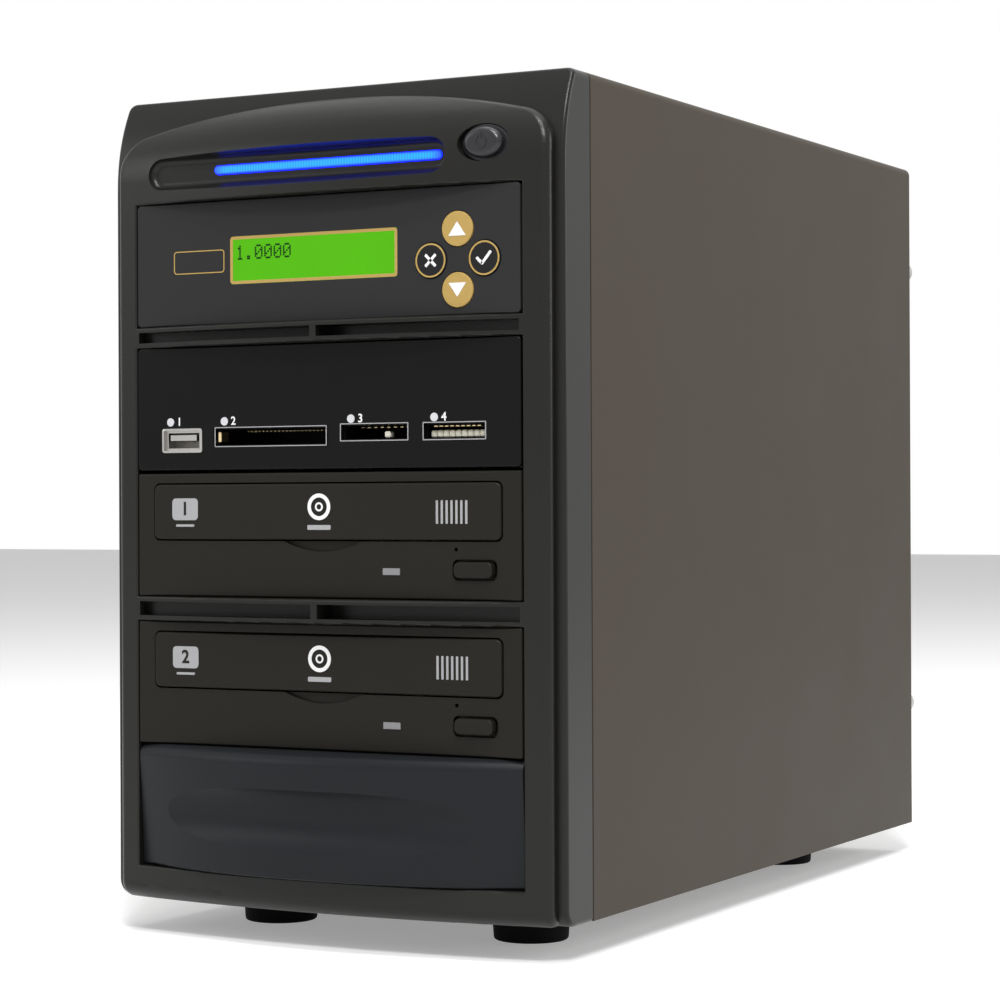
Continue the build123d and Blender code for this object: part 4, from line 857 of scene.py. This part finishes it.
class DressRear(bpy.types.Operator):
    """Finish the power supply, the fans, the inlet and the screws round them"""

    bl_idname = "tower.dress_rear"
    bl_label = "Rear"

    def execute(self, context):
        dress("psu_case", finish("steel"), 0.15 * MM)
        for place in ("psu", "case"):
            dress(f"{place}_fan_frame", finish("fan"), 0.3 * MM)
            dress(f"{place}_fan_rotor", finish("fan"), 0.2 * MM)
        dress("mains_inlet", finish("dark"), 0.25 * MM)
        dress("rocker_switch", finish("button"), 0.3 * MM)
        self.corner_screws("psu_screws", "psu_case", 7.0 * MM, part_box("psu_case")[1].y)
        self.corner_screws(
            "case_fan_screws", "case_fan_frame", 4.25 * MM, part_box("rear_panel")[1].y)
        return {"FINISHED"}

    def corner_screws(self, name, node, edge, y):
        """Screws at the four corners of a node, in from its edges."""
        low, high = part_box(node)
        sides = (low.x + edge, high.x - edge)
        levels = (low.z + edge, high.z - edge)
        self.screws(name, [(x, z) for x in sides for z in levels], y)

    def screws(self, name, places, y):
        """Pan-head screws with a cross recess, at places on the rear."""
        bpy.ops.object.select_all(action="DESELECT")
        bpy.ops.mesh.primitive_cylinder_add(vertices=32, radius=SCREW_RADIUS, depth=SCREW_HEIGHT)
        head = name_new(f"{name}_head")
        bpy.ops.object.transform_apply(scale=True)
        bpy.ops.object.mode_set(mode="EDIT")
        bpy.ops.mesh.select_all(action="DESELECT")
        bpy.ops.object.mode_set(mode="OBJECT")
        for face in head.data.polygons:
            face.select = face.normal.z > 0.9
        bpy.ops.object.mode_set(mode="EDIT")
        bpy.ops.mesh.select_mode(type="FACE")
        bpy.ops.mesh.bevel(offset=0.6 * MM, segments=3, affect="EDGES")
        bpy.ops.object.mode_set(mode="OBJECT")
        cutters = []
        for turn in (0, 90):
            bpy.ops.object.select_all(action="DESELECT")
            bpy.ops.mesh.primitive_cube_add(size=1, location=(0, 0, SCREW_HEIGHT / 2))
            bar = name_new(f"{name}_cut")
            bar.scale = (*RECESS, SCREW_HEIGHT)
            bar.rotation_euler = (0, 0, math.radians(turn))
            bpy.ops.object.transform_apply(location=True, rotation=True, scale=True)
            cutters.append(bar)
        for bar in cutters:
            only(head)
            cut = head.modifiers.new("Recess", "BOOLEAN")
            cut.object = bar
            cut.operation = "DIFFERENCE"
            bpy.ops.object.modifier_apply(modifier=cut.name)
            bpy.data.objects.remove(bar)
        only(head)
        head.rotation_euler = (math.radians(-90), 0, 0)
        head.location = (0, y + SCREW_HEIGHT / 2, 0)
        bpy.ops.object.transform_apply(location=True, rotation=True, scale=True)
        bpy.ops.object.shade_smooth_by_angle(angle=SMOOTH_ANGLE)
        heads = [copy_to(head, (x, 0, z)) for x, z in places]
        bpy.data.objects.remove(head)
        finish_piece(join_all(name, heads), "tower", finish("steel"))


# ---------------------------------------------------------------- studio
LIT_POINT = Vector((0, 0, 0.15))
FLOOR_GLOW = 0.3


def area_light(name, place, size, power):
    """A soft box aimed at the middle of the tower."""
    bpy.ops.object.light_add(type="AREA", location=place)
    lamp = bpy.context.active_object
    lamp.name = name
    lamp.data.shape = "RECTANGLE"
    lamp.data.size, lamp.data.size_y = size
    lamp.data.energy = power
    lamp.rotation_euler = (LIT_POINT - Vector(place)).to_track_quat("-Z", "Y").to_euler()


class BuildStage(bpy.types.Operator):
    """Set the camera, the light and the pale floor"""

    bl_idname = "tower.build_stage"
    bl_label = "Studio"

    def execute(self, context):
        stage = context.scene.tower_stage
        place = Vector((stage.camera_side, FACE_Y - stage.camera_back, stage.camera_height))
        bpy.ops.object.camera_add()
        camera = bpy.context.active_object
        camera.name = "Camera"
        camera.matrix_world = (
            Matrix.Translation(place)
            @ Matrix.Rotation(stage.camera_turn, 4, "Z")
            @ Matrix.Rotation(math.radians(90), 4, "X")
            @ Matrix.Rotation(stage.camera_roll, 4, "Z")
        )
        camera.data.lens = stage.lens
        camera.data.sensor_width = 36.0
        camera.data.clip_start = 0.01
        context.scene.camera = camera
        area_light("key_light", (0.75, -1.3, 1.55), (0.5, 0.35), 24)
        area_light("brow_light", (0.3, -0.8, 1.9), (0.6, 0.25), 16)
        area_light("fill_light", (-1.4, -1.3, 0.9), (0.8, 0.8), 5)
        area_light("top_light", (0, 0.3, 2.0), (1.6, 1.6), 12)
        area_light("side_light", (2.0, 1.1, 0.9), (1.2, 1.2), 20)
        self.floor()
        self.world(context.scene, stage.world_level)
        context.scene.view_settings.view_transform = "Standard"
        return {"FINISHED"}

    def floor(self):
        """Pale floor that keeps the tower's shadow."""
        bpy.ops.object.select_all(action="DESELECT")
        bpy.ops.mesh.primitive_plane_add(size=12)
        floor = name_new("floor")
        material = bpy.data.materials.new("pale_floor")
        material.use_nodes = True
        nodes, links = material.node_tree.nodes, material.node_tree.links
        shader = nodes["Principled BSDF"]
        shader.inputs["Base Color"].default_value = (0.9, 0.9, 0.9, 1)
        shader.inputs["Roughness"].default_value = 0.8
        shader.inputs["Specular IOR Level"].default_value = 0.1
        path = nodes.new("ShaderNodeLightPath")
        seen = nodes.new("ShaderNodeMath")
        seen.operation = "MAXIMUM"
        links.new(path.outputs["Is Camera Ray"], seen.inputs[0])
        links.new(path.outputs["Is Glossy Ray"], seen.inputs[1])
        glow = nodes.new("ShaderNodeMath")
        glow.operation = "MULTIPLY"
        glow.inputs[1].default_value = FLOOR_GLOW
        links.new(seen.outputs[0], glow.inputs[0])
        shader.inputs["Emission Color"].default_value = (1, 1, 1, 1)
        links.new(glow.outputs[0], shader.inputs["Emission Strength"])
        floor.data.materials.append(material)

    def world(self, scene, level):
        """Even pale light, and a white background behind the tower."""
        world = bpy.data.worlds.new("studio")
        scene.world = world
        world.use_nodes = True
        nodes, links = world.node_tree.nodes, world.node_tree.links
        back = nodes["Background"]
        back.inputs["Color"].default_value = (1, 1, 1, 1)
        path = nodes.new("ShaderNodeLightPath")
        fade = nodes.new("ShaderNodeMapRange")
        fade.inputs["To Min"].default_value = level
        fade.inputs["To Max"].default_value = 1.0
        seen = nodes.new("ShaderNodeMath")
        seen.operation = "MAXIMUM"
        links.new(path.outputs["Is Camera Ray"], seen.inputs[0])
        through = nodes.new("ShaderNodeMath")
        through.operation = "MAXIMUM"
        links.new(path.outputs["Is Glossy Ray"], through.inputs[0])
        links.new(path.outputs["Is Transmission Ray"], through.inputs[1])
        links.new(through.outputs[0], seen.inputs[1])
        links.new(seen.outputs[0], fade.inputs["Value"])
        links.new(fade.outputs[0], back.inputs["Strength"])


# ---------------------------------------------------------------- add-on
class TowerPanel(bpy.types.Panel):
    """Lists the tower's pieces in the sidebar"""

    bl_idname = "TOWER_PT_pieces"
    bl_label = "Disc duplicator tower"
    bl_space_type = "VIEW_3D"
    bl_region_type = "UI"
    bl_category = "Tower"

    def draw(self, context):
        layout = self.layout
        for settings in ("tower_colours", "tower_marks", "tower_stage"):
            group = getattr(context.scene, settings)
            box = layout.box()
            for name in group.__annotations__:
                box.prop(group, name)
        for operator in OPERATORS:
            layout.operator(operator.bl_idname)


OPERATORS = (
    BuildStage,
    DressCase,
    DressBezel,
    DressControlUnit,
    DressReader,
    DressDrives,
    DressBayCover,
    DressRear,
)
SETTINGS = {"tower_colours": TowerColours, "tower_marks": TowerMarks, "tower_stage": TowerStage}


def register():
    for settings in SETTINGS.values():
        bpy.utils.register_class(settings)
    for operator in OPERATORS:
        bpy.utils.register_class(operator)
    bpy.utils.register_class(TowerPanel)
    for name, settings in SETTINGS.items():
        setattr(bpy.types.Scene, name, bpy.props.PointerProperty(type=settings))


def unregister():
    for name in SETTINGS:
        delattr(bpy.types.Scene, name)
    bpy.utils.unregister_class(TowerPanel)
    for operator in reversed(OPERATORS):
        bpy.utils.unregister_class(operator)
    for settings in SETTINGS.values():
        bpy.utils.unregister_class(settings)


def main():
    register()
    bpy.ops.tower.build_stage()
    bpy.ops.tower.dress_case()
    bpy.ops.tower.dress_bezel()
    bpy.ops.tower.dress_control_unit()
    bpy.ops.tower.dress_reader()
    bpy.ops.tower.dress_drives()
    bpy.ops.tower.dress_bay_cover()
    bpy.ops.tower.dress_rear()


if __name__ == "__main__":
    main()
